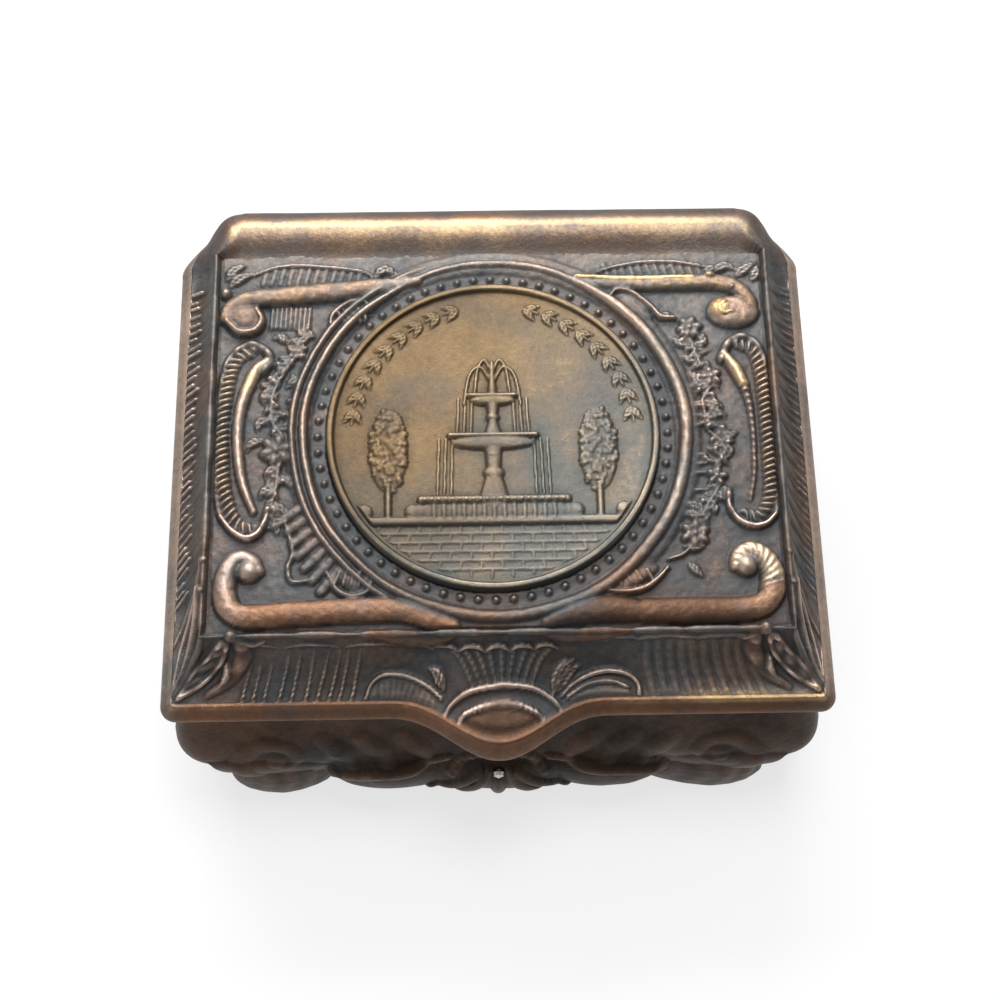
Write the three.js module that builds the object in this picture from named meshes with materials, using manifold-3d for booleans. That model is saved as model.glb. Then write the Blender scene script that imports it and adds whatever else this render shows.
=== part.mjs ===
// Small copper trinket box: a swelling case on four scroll feet, under a coved lid hinged at the back.
// Millimetres, +Z up, front towards -Y. While the pieces are laid out, y is measured from the front line
// of the lid; the whole box is then moved so that the origin lies on the table under its middle.
import * as THREE from "three";
import { mergeVertices } from "three/addons/utils/BufferGeometryUtils.js";
import Module from "manifold-3d";

// Case
const HEM_Z = 2.4; // lower edge of the wall, above the table
const HEM_HEIGHT = 2.2; // upright band at the lower edge, where the bottom plate sits
const BELLY_Z = 9.5; // height of the fullest part of the wall
const NECK_Z = 15.6; // height of the drawn-in neck under the rim
const RIM_Z = 18; // upper edge of the wall
const RIM_HEIGHT = 1.2; // thickness of the flange that turns in at the rim
const CASE_CORNER = 2.8; // plan radius of the case corners
const WALL = 1.2;
const HEM_IN_SIDE = 1.4; // how far the hem lies inside the rim, on each face
const HEM_IN_FRONT = -1.7;
const HEM_IN_BACK = 1.6;
const BELLY_OUT_SIDE = 0.95; // how far the belly stands outside the rim
const BELLY_OUT_FRONT = 2.4;
const NECK_IN = 0.5;

// Shell shaped apron lobes: three side by side in the middle of the front, and one on each side
const LOBE_HALF_WIDTH = 8; // middle lobe of the front
const FLANK_LOBE_HALF_WIDTH = 6.4;
const FLANK_LOBE_FROM_MIDDLE = 10;
const SIDE_LOBE_HALF_WIDTH = 9;
const LOBE_HEIGHT = 4.6;
const LOBE_Z = 5;
const LOBE_OUT = 2.6; // how far the middle lobe stands out of the hem
const FLANK_LOBE_OUT = 2.4;
const SIDE_LOBE_OUT = 2.3;

// Feet
const FOOT_LOBE = 5; // half the length of each lobe of a foot
const FOOT_OUT = 1.9; // how far a foot stands out of the hem at the front and back
const FOOT_OUT_SIDE = 2.2;
const FOOT_RISE = 5.2;
const FOOT_LOBE_Z = 2.1;
const FOOT_FROM_SIDE = 6.8; // lobe centre on the front and back, in from the side of the hem
const FOOT_FROM_END = 8; // lobe centre on the sides, in from the front or back of the hem

// Lid
const LID_HALF_WIDTH = 29.5; // upper edge of the lip
const LID_DEPTH = 49.5;
const LIP_FLARE = 0.5; // how far the lower edge of the lip stands out of its upper edge
const LIP_HEIGHT = 1.4;
const LIP_OVERHANG_SIDE = 0.5; // how far the upper edge of the lip stands outside the rim, on each face
const LIP_OVERHANG_FRONT = 0.7;
const LIP_OVERHANG_BACK = 1.9;
const LIP_FACE = 0.6; // upright part of the lip's edge
const TONGUE_HALF_WIDTH = 10;
const TONGUE_REACH = 3.7;
const TONGUE_POINT = 1.3; // how pointed the tongue is
const TONGUE_DROP = 1.1; // depth of its turned-down edge, in the middle
const TONGUE_DROP_END = 0.05; // and at its ends
const LIP_BAND = 0.1; // share of the cove's arc that the sloping band of the lip takes
const REAR_CUT = 5; // corner cut at each end of the rear roll
const REAR_EASE = 1.1; // where the cove begins to turn into the roll, in front of the cut
const COVE_SIDE = 3.5; // plan width of the cove at the sides
const COVE_FRONT = 5.5;
const COVE_RISE = 4.5;
const ROLL_DEPTH = 5.5; // from the rear line to the panel's raised edge
const ROLL_RISE = 5;
const ROLL_CREST = 3.6; // top of the rear roll, in from the rear line
const ROLL_FOOT = 0.7; // how far the roll's foot runs on to the panel
const BORDER = 0.5; // raised edge round the panel
const BORDER_HEIGHT = 0.5;
const LID_SKIN = 1.3;

// Medallion and its frame, on the panel
const DISC_RADIUS = 15.15;
const DISC_FROM_FRONT = 18.6; // disc centre behind the front edge of the panel
const DISC_THICKNESS = 1.1;
const DISC_RIM_WIDTH = 0.6;
const DISC_RIM_HEIGHT = 0.35;
const DISC_SEAT = 0.7; // depth of the round seat sunk in the panel
const BEAD_LINE = 0.7; // middle of the bead band, outside the disc
const BEAD_RADIUS = 0.35;
const RING_RADIUS = 17.6; // middle of the plain ring round the beads
const RING_HALF_WIDTH = 0.7;
const RING_HEIGHT = 1.1;

// Fountain relief on the disc, in heights above the terrace line
const RELIEF = 0.36; // height above the field
const TERRACE_BELOW = 8.6; // terrace line below the disc centre
const TERRACE_HALF_HEIGHT = 0.35;
const TERRACE_FROM_RIM = 1;
// Upright and level bars: half width, then from one height to another
const FOUNTAIN_BARS = [
  [5.9, 0.3, 1.6], [6.5, 1.65, 2.35], [0.65, 2, 7.6], [3.9, 8.05, 8.55], [0.45, 8, 11.6], [2.1, 12.1, 12.5],
  [0.25, 12.3, 15.4],
];
// Rounded parts: from the middle, height of the centre, half width, half height
const FOUNTAIN_LUMPS = [[0, 4.6, 1, 0.7], [0, 7.5, 3.7, 0.75], [0, 10.1, 0.65, 0.45], [0, 11.8, 2, 0.5]];
const GARDEN_LUMPS = [[9.5, 6.9, 1.7, 4.1], [6.7, 0.9, 0.8, 0.75], [11.8, 0.9, 0.8, 0.75]];
const TRUNK = { fromMiddle: 9.5, halfWidth: 0.3, height: 3.4 };
const JETS = [
  [[0.1, 14.6], [0.7, 15.9], [1.3, 15], [1.6, 12.7]], [[0.1, 13.6], [1, 15.2], [2.1, 14.3], [2.6, 11.4]],
  [[2.5, 12], [2.6, 8.6]], [[4.3, 8], [4.5, 2.4]],
];
const SPRIG_FROM_RIM = 1.65; // leaf sprigs along the upper rim, in from it
const SPRIG_LEAVES = 9;
const SPRIG_START = 14; // degrees from the top
const SPRIG_PITCH = 8.2; // degrees
const SPRIG_TURN = 6; // degrees from a leaf's foot to its tip
const SPRIG_LEAF = { spread: 0.85, halfWidth: 0.32, height: 0.26, root: RELIEF };
const JET = { halfWidth: 0.14, height: 0.24, root: RELIEF };

// Scrolls on the panel
const BAR_RADIUS = 1.15;
const BAR_GAP = 4.6; // inner end of each front bar, from the middle line
const REAR_BAR_RADIUS = 0.8;
const REAR_BAR_GAP = 8;
const VOLUTE_RADIUS = 1.6;
const VOLUTE_HEIGHT = 1.2;
const SCROLL_RADIUS = 0.5; // ridge of the C scrolls

// Courses of the scrolls, on both sides: each point is in from the panel's side edge, then in from its
// front edge for the front bar, and in from its back edge for the rear bar
const FRONT_BAR_UP = 1; // inner end of the front bar
const FRONT_CURL = [[4.6, 1.4], [2, 2.1], [1.2, 4.2], [1.9, 6.1], [3.3, 6.7], [4.3, 6]];
const FRONT_VOLUTE = [3.5, 5.8];
const REAR_BAR_DOWN = 3; // inner end of the rear bar
const REAR_CURL = [[4, 3.4], [1.8, 4.1], [1, 5.6], [1.2, 7.6], [2.6, 8.5]];
const REAR_VOLUTE = [2.7, 6.7];
// The ends of each C scroll, seen from its middle: in from the side edge, then from the front or back edge
const OUTER_SCROLL_BACK = [[4.6, 11.4], [3.8, 9.8], [2.2, 9.3], [0.8, 10.8]];
const OUTER_SCROLL_FRONT = [[0.7, 11], [2, 9.1], [3.4, 9.3], [4.7, 11.6]];
const OUTER_SCROLL_IN = 0.55; // middle of the outer ridge, in from the side edge
const INNER_SCROLL_BACK = [[3.4, 12], [2.2, 15.4]];
const INNER_SCROLL_FRONT = [[2.3, 14.6], [3.6, 11.4]];
const INNER_SCROLL_IN = 1.9;

// Ornament in low relief, drawn for the right-hand half and mirrored. A ridge has a half width and a height.
const ROOT = 0.4; // depth of its root under the surface
const WALL_ROOT = 1; // and on the walls of the case, which are more strongly curved
const FINE = { halfWidth: 0.26, height: 0.38, root: ROOT };
const BOLD = { halfWidth: 0.4, height: 0.5, root: ROOT };
const BROAD = { halfWidth: 0.75, height: 0.5, root: ROOT };
const WALL_BOLD = { halfWidth: 0.6, height: 0.5, root: WALL_ROOT };
const WALL_BROAD = { halfWidth: 1, height: 0.42, root: WALL_ROOT };
const FLOWER = { radius: 0.95, height: 0.45 };
// On the front cove: from the middle line, then up along the curve of the cove
const SHELL_ARCHES = [
  [[5.4, 0.6], [4.6, 1.6], [2.8, 2.75], [1.3, 3.1], [0, 3.2]], [[4, 0.6], [3.3, 1.25], [1.8, 2], [0, 2.2]],
];
const SHELL_BOSS = { up: 0.8, halfWidth: 3, halfDepth: 1.3, height: 0.4 };
const SHELL_RIBS = [[[0, 3.6], [0, 5.4]], [[1.5, 3.5], [2.6, 5.4]], [[2.8, 3.15], [4.9, 5.35]]];
const SHELL_SCALLOPS = [
  [[-1.2, 5.4], [0, 6], [1.2, 5.4]], [[1.2, 5.4], [2.4, 6], [3.6, 5.4]], [[3.6, 5.4], [5, 6], [6.4, 5.4]],
];
const LEAF_ARCHES = [
  [[12.3, 0.95], [12.3, 2.05], [11.5, 2.85], [9.8, 2.95], [8, 2.6], [6.4, 2.05], [5.5, 1.55]],
  [[11.6, 1.5], [10, 1.95], [8, 1.8], [6.2, 1.25]], [[5.2, 2.2], [5.8, 3.2], [6.7, 3.8]],
];
const COVE_SCALLOPS = [[[9.8, 6.05], [12.4, 6.55], [15, 6.05]], [[15.8, 6.05], [18.4, 6.55], [21, 6.05]]];
const COVE_RIBS = { first: 13.5, pitch: 1.07, fromCorner: 6, lean: 0.45, low: 0.8, high: 5.2 };
// In from the lid's corner, then up along the curve of the front cove
const CORNER_LOBE = [[2.9, 7.2], [3.9, 6.75], [4.6, 4.7], [4.3, 2.85], [3.1, 1.55]];
const CORNER_LOOP = [
  [0.5, 1.1], [0.6, 3.3], [1.3, 4.9], [2.2, 7.2], [2.7, 6.15], [2.6, 3.95], [1.9, 2.35], [0.5, 1.1],
];
// Back from the front line of the lid, then up along the curve of the side cove
const SIDE_LOOP = [
  [0.5, 0.9], [1, 2.5], [2.4, 3.9], [4.6, 5.8], [5.6, 5.4], [4.8, 3.5], [3.2, 1.9], [0.5, 0.9],
];
const SIDE_LEAF = [[5.2, 1], [6, 2.5], [7.4, 4.4], [8.2, 5.9]];
const SIDE_TICKS = { first: 8.6, pitch: 0.92, fromBack: 2.2, low: 0.6, high: 1.9 };
// On the panel, from the disc's middle: clasps on the ring
const CLASPS = [
  [[11, 13.7], [11.7, 14.6], [12.9, 14.5], [14, 13.7], [15, 12.6], [15.8, 11.7], [17.1, 11.6]],
  [[10, -15.2], [11.4, -15.4], [12.8, -15.2], [14.1, -14.4], [15.1, -13.2]],
];
// Sprigs in the spandrels: in from the panel's side edge, then from the disc's middle line
const SPRIG_FLOWERS = [[7.1, 10.6], [5.4, 5.5], [6, 0.9], [5.5, -4.5], [7.8, -9.7]];
const SPRIG_STEMS = [
  [[7.1, 9.4], [6.7, 7.8], [6.2, 6.6]], [[7.2, 4.6], [5.9, 4.9], [4.6, 4.6]], [[7.3, 2.8], [5.7, 2.7], [4.1, 1]],
  [[4.9, -0.4], [4, -0.4], [3.2, 0]], [[4.7, -1.4], [4.2, -2], [4.9, -3]], [[8.5, -7.1], [7.2, -7.5], [6, -8.6]],
  [[8.8, -11.2], [7.7, -11.3], [6.7, -10.8]], [[8.5, -12.8], [7.2, -14.2]],
];
// Behind the rear bars: from the middle line, then in from the panel's back edge
const REAR_LEAF = [[9.8, 2.3], [12, 1.6], [14.5, 1.2], [17.5, 1.25], [20.6, 1.8]];
// On the front of the case: from the middle line and up from the table
const WALL_SCROLL = [
  [15.2, 6.2], [17.5, 4.6], [20.6, 4.4], [23.4, 6.2], [24, 9.2], [22.2, 11.6], [19.6, 11.5], [18.6, 9.8], [19.8, 8.4],
];
const WALL_STEM = [[4.6, 9.6], [8, 8.2], [12, 7.6], [15.2, 6.2]];
const WALL_SHELL = [[4.4, 7.4], [3, 9.5], [0, 10.4]];
const WALL_SHELL_RIBS = [
  [[0, 7.2], [0, 5], [0, 2.4]], [[0.9, 8.4], [2.3, 5], [3.8, 2.8]], [[1.6, 8.2], [4, 5.2], [6.2, 3.6]],
];
const WALL_LEAVES = [
  [[6.4, 9], [7.4, 10.9], [8.9, 12.6]], [[10, 8.6], [11, 10.7], [12.5, 12.5]],
  [[13.6, 8.2], [14.6, 10.5], [16.1, 12.4]],
];
// On its sides: from the middle of the side and up from the table
const SIDE_SCROLL = [
  [2.8, 9.2], [7.5, 6.4], [14.1, 5.6], [18.8, 7.6], [18.3, 10.6], [14.5, 11.8], [12.2, 10.2], [14.1, 8.8],
];

// Hinge
const HINGE_LENGTH = 36;
const KNUCKLES = 5;
const BARREL_RADIUS = 1.25;
const PIN_RADIUS = 0.55;
const PIN_CLEARANCE = 0.08;
const PIN_OVERHANG = 0.4; // how far each end of the pin stands out
const LEAF_THICKNESS = 0.5;
const LEAF_LENGTH = 4.2;
const KNUCKLE_GAP = 0.25;

// Linings and plates
const PLATE_THICKNESS = 1;
const PLATE_UP = 0.8; // bottom plate above the hem
const FELT_THICKNESS = 0.6;
const LINING_THICKNESS = 1;
const CARD_THICKNESS = 0.7;
const FLOOR_PAD_THICKNESS = 2.2;
const LID_PAD_THICKNESS = 1.8;
const PAD_CORNER = 2;
const PAD_ROUND = 0.7; // rounding of the pads' edges
const FLANGE_COVER = 0.6; // how far the linings stand in from the flange above them

// Stud on the front lobe
const STUD_RADIUS = 0.55;
const STUD_SHANK_RADIUS = 0.3;
const STUD_Z = 8.2;
const STUD_LENGTH = 1.6;

// Clearances
const SEAM = 0.3; // between the rim and the lid
const FIT = 0.15; // round every piece that sits in or on another
const SOLDER = 0.15; // between soldered pieces

// Fineness of the facets
const CORNER_STEPS = 4;
const LUMP_SIDES = 8;
const WALL_STEPS = 3;
const COVE_STEPS = 5;
const TONGUE_STEPS = 20;
const SCROLL_STEPS = 22;
const BEAD_STEPS = 6;
const ROUND_STEPS = 48;
const SMALL_ROUND = 12;

// Heights and plan lines that follow from the sizes above
const LID_BOTTOM = RIM_Z + SEAM;
const LIP_TOP = LID_BOTTOM + LIP_HEIGHT;
const RIM_HALF_WIDTH = LID_HALF_WIDTH - LIP_OVERHANG_SIDE;
const RIM_FRONT = LIP_OVERHANG_FRONT;
const RIM_BACK = LID_DEPTH - LIP_OVERHANG_BACK;
const PANEL_Z = LIP_TOP + COVE_RISE - BORDER_HEIGHT;
const PANEL_UNDER = PANEL_Z - LID_SKIN;
const PANEL_HALF_WIDTH = LID_HALF_WIDTH - COVE_SIDE - BORDER;
const PANEL_FRONT = COVE_FRONT + BORDER;
const PANEL_BACK = LID_DEPTH - ROLL_DEPTH - BORDER;
const DISC_Y = PANEL_FRONT + DISC_FROM_FRONT;
const SEAT_Z = PANEL_Z - DISC_SEAT;
const DISC_BOTTOM = SEAT_Z + SOLDER;
const FIELD_Z = DISC_BOTTOM + DISC_THICKNESS;
const HEM_HALF_WIDTH = RIM_HALF_WIDTH - HEM_IN_SIDE;
const HEM_FRONT = RIM_FRONT + HEM_IN_FRONT;
const HEM_BACK = RIM_BACK - HEM_IN_BACK;
const SIDE_MIDDLE = (HEM_FRONT + HEM_BACK) / 2;
const HINGE_Y = RIM_BACK + SOLDER + BARREL_RADIUS;
const HINGE_Z = LID_BOTTOM - SOLDER - BARREL_RADIUS;
const BORE_RADIUS = PIN_RADIUS + PIN_CLEARANCE;
const PLATE_Z = HEM_Z + PLATE_UP;
const FLOOR_Z = PLATE_Z + PLATE_THICKNESS;
const LINING_STANDOFF = (CASE_CORNER - WALL) * (1 - Math.SQRT1_2) + FIT; // lets square corners clear round ones
const LINING_OUTSIDE = HEM_HALF_WIDTH - WALL - LINING_STANDOFF;
const LINING_FRONT = Math.max(HEM_FRONT, RIM_FRONT) + WALL + LINING_STANDOFF;
const LINING_BACK = HEM_BACK - WALL - LINING_STANDOFF;
const CREST_HALF_WIDTH = LID_HALF_WIDTH - COVE_SIDE;
const COVE_BACK = LID_DEPTH - REAR_CUT - REAR_EASE; // back end of the side coves
const FRONT_ARC = quarterArc(COVE_FRONT, COVE_RISE); // length of the cove's curve at the front and the sides
const SIDE_ARC = quarterArc(COVE_SIDE, COVE_RISE);
const BOX_FRONT = -TONGUE_REACH - LIP_FLARE;
const BOX_BACK = HINGE_Y + BARREL_RADIUS;

const wasm = await Module();
wasm.setup();

// Length of a quarter of an ellipse.
function quarterArc(a, b) {
  return (Math.PI / 4) * (3 * (a + b) - Math.sqrt((3 * a + b) * (a + 3 * b)));
}

// A closed geometry as a solid for joining and cutting, with its faces turned outwards.
function solid(geometry) {
  const bare = geometry.clone();
  bare.deleteAttribute("normal");
  bare.deleteAttribute("uv");
  const merged = mergeVertices(bare, 1e-4);
  const vertProperties = new Float32Array(merged.attributes.position.array);
  const triVerts = new Uint32Array(merged.index.array);
  const made = new wasm.Manifold(new wasm.Mesh({ numProp: 3, vertProperties, triVerts }));
  if (made.volume() > 0) return made;
  for (let i = 0; i < triVerts.length; i += 3) {
    const kept = triVerts[i + 1];
    triVerts[i + 1] = triVerts[i + 2];
    triVerts[i + 2] = kept;
  }
  return new wasm.Manifold(new wasm.Mesh({ numProp: 3, vertProperties, triVerts }));
}

// Geometries and solids, joined into one solid.
function join(pieces) {
  return wasm.Manifold.union(pieces.map((item) => (item.isBufferGeometry ? solid(item) : item)));
}

// The geometry of a joined or cut solid.
function geometryOf(body) {
  const { vertProperties, triVerts } = body.getMesh();
  const geometry = new THREE.BufferGeometry();
  geometry.setAttribute("position", new THREE.BufferAttribute(vertProperties, 3));
  geometry.setIndex(new THREE.BufferAttribute(triVerts, 1));
  geometry.computeVertexNormals();
  return geometry;
}

// A closed body through rings of points, lowest first, each counter-clockwise seen from above.
function loft(rings) {
  const count = rings[0].length;
  const points = rings.flat();
  const index = [];
  for (let r = 0; r + 1 < rings.length; r++) {
    for (let i = 0; i < count; i++) {
      const a = r * count + i;
      const b = r * count + ((i + 1) % count);
      index.push(a, b, b + count, a, b + count, a + count);
    }
  }
  for (const [ring, up] of [[0, false], [rings.length - 1, true]]) {
    const middle = new THREE.Vector3();
    rings[ring].forEach((point) => middle.addScaledVector(point, 1 / count));
    for (let i = 0; i < count; i++) {
      const a = ring * count + i;
      const b = ring * count + ((i + 1) % count);
      index.push(points.length, up ? a : b, up ? b : a);
    }
    points.push(middle);
  }
  return new THREE.BufferGeometry().setFromPoints(points).setIndex(index);
}

// A rectangle with rounded corners, counter-clockwise, at one height.
function roundedRing({ left, right, front, back, radius }, z) {
  const corners = [
    [right - radius, front + radius],
    [right - radius, back - radius],
    [left + radius, back - radius],
    [left + radius, front + radius],
  ];
  return corners.flatMap(([x, y], quarter) => {
    const turn = (quarter - 1) * (Math.PI / 2);
    return Array.from({ length: CORNER_STEPS + 1 }, (_, step) => {
      const angle = turn + (step / CORNER_STEPS) * (Math.PI / 2);
      return new THREE.Vector3(x + radius * Math.cos(angle), y + radius * Math.sin(angle), z);
    });
  });
}

function block(left, right, front, back, low, high) {
  const geometry = new THREE.BoxGeometry(right - left, back - front, high - low);
  return geometry.translate((left + right) / 2, (front + back) / 2, (low + high) / 2);
}

// A ball stretched along each axis.
function lump(x, y, z, halfX, halfY, halfZ) {
  const ball = new THREE.SphereGeometry(1, SMALL_ROUND + 4, SMALL_ROUND - 2).rotateX(Math.PI / 2);
  return ball.scale(halfX, halfY, halfZ).translate(x, y, z);
}

// A round ridge along a plan curve, at the height that a function gives for each point.
function ridge(plan, heightAt, radius) {
  const curve = new THREE.CatmullRomCurve3(plan.map(([x, y]) => new THREE.Vector3(x, y, heightAt(x, y))));
  const section = new THREE.Shape().absarc(0, 0, radius, 0, 2 * Math.PI);
  return new THREE.ExtrudeGeometry(section, { steps: SCROLL_STEPS, extrudePath: curve, curveSegments: 4 });
}

// The outward direction of a surface at a pair of numbers.
function outward(surface, [a, b]) {
  const step = 0.01;
  const place = surface(a, b);
  const along = surface(a + step, b).sub(place);
  const across = surface(a, b + step).sub(place);
  return along.cross(across).normalize();
}

// A low ridge with a roof-shaped section, along a course of points on a surface.
function crease(course, surface, { halfWidth, height, root }) {
  const places = course.map((point) => surface(...point));
  const rings = places.map((place, i) => {
    const up = outward(surface, course[i]);
    const ahead = places[Math.min(i + 1, places.length - 1)];
    const behind = places[Math.max(i - 1, 0)];
    const across = new THREE.Vector3().subVectors(ahead, behind).cross(up).normalize();
    const at = (sideways, rise) => place.clone().addScaledVector(across, sideways).addScaledVector(up, rise);
    return [at(-halfWidth, -root), at(halfWidth, -root), at(0, height)].map((corner) => corner.toArray());
  });
  const spans = rings.slice(1).map((ring, i) => wasm.Manifold.hull([...rings[i], ...ring]));
  return wasm.Manifold.union(spans);
}

// A low rounded knob on a surface.
function knob(point, surface, halfWidth, halfDepth, height) {
  const [a, b] = point;
  const up = outward(surface, point);
  const level = (share, rise) => Array.from({ length: LUMP_SIDES }, (_, i) => {
    const turn = (2 * Math.PI * i) / LUMP_SIDES;
    const place = surface(a, b);
    const along = surface(a + 0.01, b).sub(place).normalize();
    const across = new THREE.Vector3().crossVectors(up, along);
    return place.addScaledVector(along, share * halfWidth * Math.cos(turn))
      .addScaledVector(across, share * halfDepth * Math.sin(turn)).addScaledVector(up, rise);
  });
  return loft([level(1, -ROOT), level(0.94, 0.35 * height), level(0.6, 0.82 * height), level(0.2, height)]);
}

// A round bar along X.
function rod(radius, left, right, y, z) {
  const section = new THREE.Shape().absarc(0, 0, radius, 0, 2 * Math.PI);
  const options = { depth: right - left, bevelEnabled: false, curveSegments: SMALL_ROUND };
  return new THREE.ExtrudeGeometry(section, options).rotateY(Math.PI / 2).translate(left, y, z);
}

const mirrored = (plan) => plan.map(([x, y]) => [-x, y]);
const bothSides = (plan) => [plan, mirrored(plan)];
// A course drawn from the side to the middle line, carried on to the other side.
const acrossMiddle = (plan) => [...plan, ...mirrored(plan).reverse().slice(1)];

function metal(color, roughness) {
  return new THREE.MeshStandardMaterial({ color, roughness, metalness: 1 });
}

function cloth(color) {
  return new THREE.MeshStandardMaterial({ color, roughness: 0.95, metalness: 0 });
}

function piece(name, geometry, material) {
  const mesh = new THREE.Mesh(geometry, material);
  mesh.name = name;
  return mesh;
}

// Case wall: how far the face stands outside the rim at each height, as a smooth curve.
function wallProfile(hem, belly, neck) {
  const curve = new THREE.SplineCurve([
    new THREE.Vector2(-hem, HEM_Z + HEM_HEIGHT),
    new THREE.Vector2(belly, BELLY_Z),
    new THREE.Vector2(-neck, NECK_Z),
    new THREE.Vector2(0, RIM_Z - RIM_HEIGHT),
  ]);
  const swell = curve.getPoints(3 * WALL_STEPS);
  return [new THREE.Vector2(-hem, HEM_Z), ...swell, new THREE.Vector2(0, RIM_Z)];
}

// The case as a solid lump, grown by an amount all round, from one height to another.
function caseRings(grow) {
  const side = wallProfile(HEM_IN_SIDE, BELLY_OUT_SIDE, NECK_IN);
  const front = wallProfile(HEM_IN_FRONT, BELLY_OUT_FRONT, 0);
  const back = wallProfile(HEM_IN_BACK, 0, 0);
  return side.map((point, i) => {
    const half = RIM_HALF_WIDTH + point.x + grow;
    const plan = {
      left: -half,
      right: half,
      front: RIM_FRONT - front[i].x - grow,
      back: RIM_BACK + Math.min(back[i].x, 0) + grow,
      radius: CASE_CORNER + grow,
    };
    return roundedRing(plan, point.y);
  });
}

// The hollow of the case: inside the wall, open below, and narrowed by the flange at the rim.
function caseHollow() {
  const inside = caseRings(-WALL).slice(0, -1);
  inside[0].forEach((point) => point.setZ(0));
  const mouth = {
    left: -LINING_OUTSIDE + LINING_THICKNESS - FLANGE_COVER,
    right: LINING_OUTSIDE - LINING_THICKNESS + FLANGE_COVER,
    front: LINING_FRONT + LINING_THICKNESS - FLANGE_COVER,
    back: LINING_BACK - LINING_THICKNESS + FLANGE_COVER,
    radius: CASE_CORNER - WALL,
  };
  const opening = [roundedRing(mouth, BELLY_Z), roundedRing(mouth, RIM_Z + SEAM)];
  return solid(loft(inside)).add(solid(loft(opening)));
}

function caseLobes(grow) {
  const lobe = (x, y, halfX, halfY) => lump(x, y, LOBE_Z, halfX + grow, halfY + grow, LOBE_HEIGHT + grow);
  const lobes = [lobe(0, HEM_FRONT, LOBE_HALF_WIDTH, LOBE_OUT)];
  for (const side of [-1, 1]) {
    lobes.push(lobe(side * FLANK_LOBE_FROM_MIDDLE, HEM_FRONT, FLANK_LOBE_HALF_WIDTH, FLANK_LOBE_OUT));
    lobes.push(lobe(side * HEM_HALF_WIDTH, SIDE_MIDDLE, SIDE_LOBE_OUT, SIDE_LOBE_HALF_WIDTH));
  }
  return join(lobes);
}

// The height at which a wall profile is read, between its drawn points.
function readProfile(profile, z) {
  for (let i = 1; i < profile.length; i++) {
    const low = profile[i - 1];
    const high = profile[i];
    if (z <= high.y) return low.x + ((high.x - low.x) * (z - low.y)) / (high.y - low.y);
  }
  return profile[profile.length - 1].x;
}

// How far a lobe stands out at a point of its wall.
function lobeOut(along, z, halfWidth, out) {
  const left = 1 - (along / halfWidth) ** 2 - ((z - LOBE_Z) / LOBE_HEIGHT) ** 2;
  return left > 0 ? out * Math.sqrt(left) : 0;
}

function frontWall(x, z) {
  const wall = RIM_FRONT - readProfile(wallProfile(HEM_IN_FRONT, BELLY_OUT_FRONT, 0), z);
  const flank = Math.abs(x) - FLANK_LOBE_FROM_MIDDLE;
  const out = Math.max(
    lobeOut(x, z, LOBE_HALF_WIDTH, LOBE_OUT), lobeOut(flank, z, FLANK_LOBE_HALF_WIDTH, FLANK_LOBE_OUT),
  );
  return new THREE.Vector3(x, out > 0 ? Math.min(wall, HEM_FRONT - out) : wall, z);
}

function sideWall(side) {
  return (along, z) => {
    const wall = RIM_HALF_WIDTH + readProfile(wallProfile(HEM_IN_SIDE, BELLY_OUT_SIDE, NECK_IN), z);
    const out = lobeOut(along, z, SIDE_LOBE_HALF_WIDTH, SIDE_LOBE_OUT);
    const x = out > 0 ? Math.max(wall, HEM_HALF_WIDTH + out) : wall;
    return new THREE.Vector3(side * x, SIDE_MIDDLE + side * along, z);
  };
}

// Scrolls, leaves and the shell on the walls of the case.
function caseOrnament() {
  const made = [crease(acrossMiddle(WALL_SHELL), frontWall, WALL_BOLD)];
  const courses = [[WALL_SCROLL, WALL_BROAD], [WALL_STEM, WALL_BOLD]];
  courses.push(...WALL_SHELL_RIBS.slice(1).map((rib) => [rib, WALL_BOLD]));
  courses.push(...WALL_LEAVES.map((leaf) => [leaf, WALL_BROAD]));
  for (const [course, section] of courses) {
    made.push(...bothSides(course).map((line) => crease(line, frontWall, section)));
  }
  made.push(crease(WALL_SHELL_RIBS[0], frontWall, WALL_BOLD));
  for (const side of [-1, 1]) {
    made.push(...bothSides(SIDE_SCROLL).map((line) => crease(line, sideWall(side), WALL_BROAD)));
  }
  return join(made);
}

const hollow = caseHollow();
const studHole = solid(block(
  -STUD_SHANK_RADIUS - FIT, STUD_SHANK_RADIUS + FIT,
  HEM_FRONT - LOBE_OUT, HEM_FRONT - LOBE_OUT + STUD_LENGTH + LOBE_HEIGHT,
  STUD_Z - STUD_SHANK_RADIUS - FIT, STUD_Z + STUD_SHANK_RADIUS + FIT,
));

function caseShell() {
  return solid(loft(caseRings(0))).add(caseLobes(0)).add(caseOrnament()).subtract(hollow).subtract(studHole);
}

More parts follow.
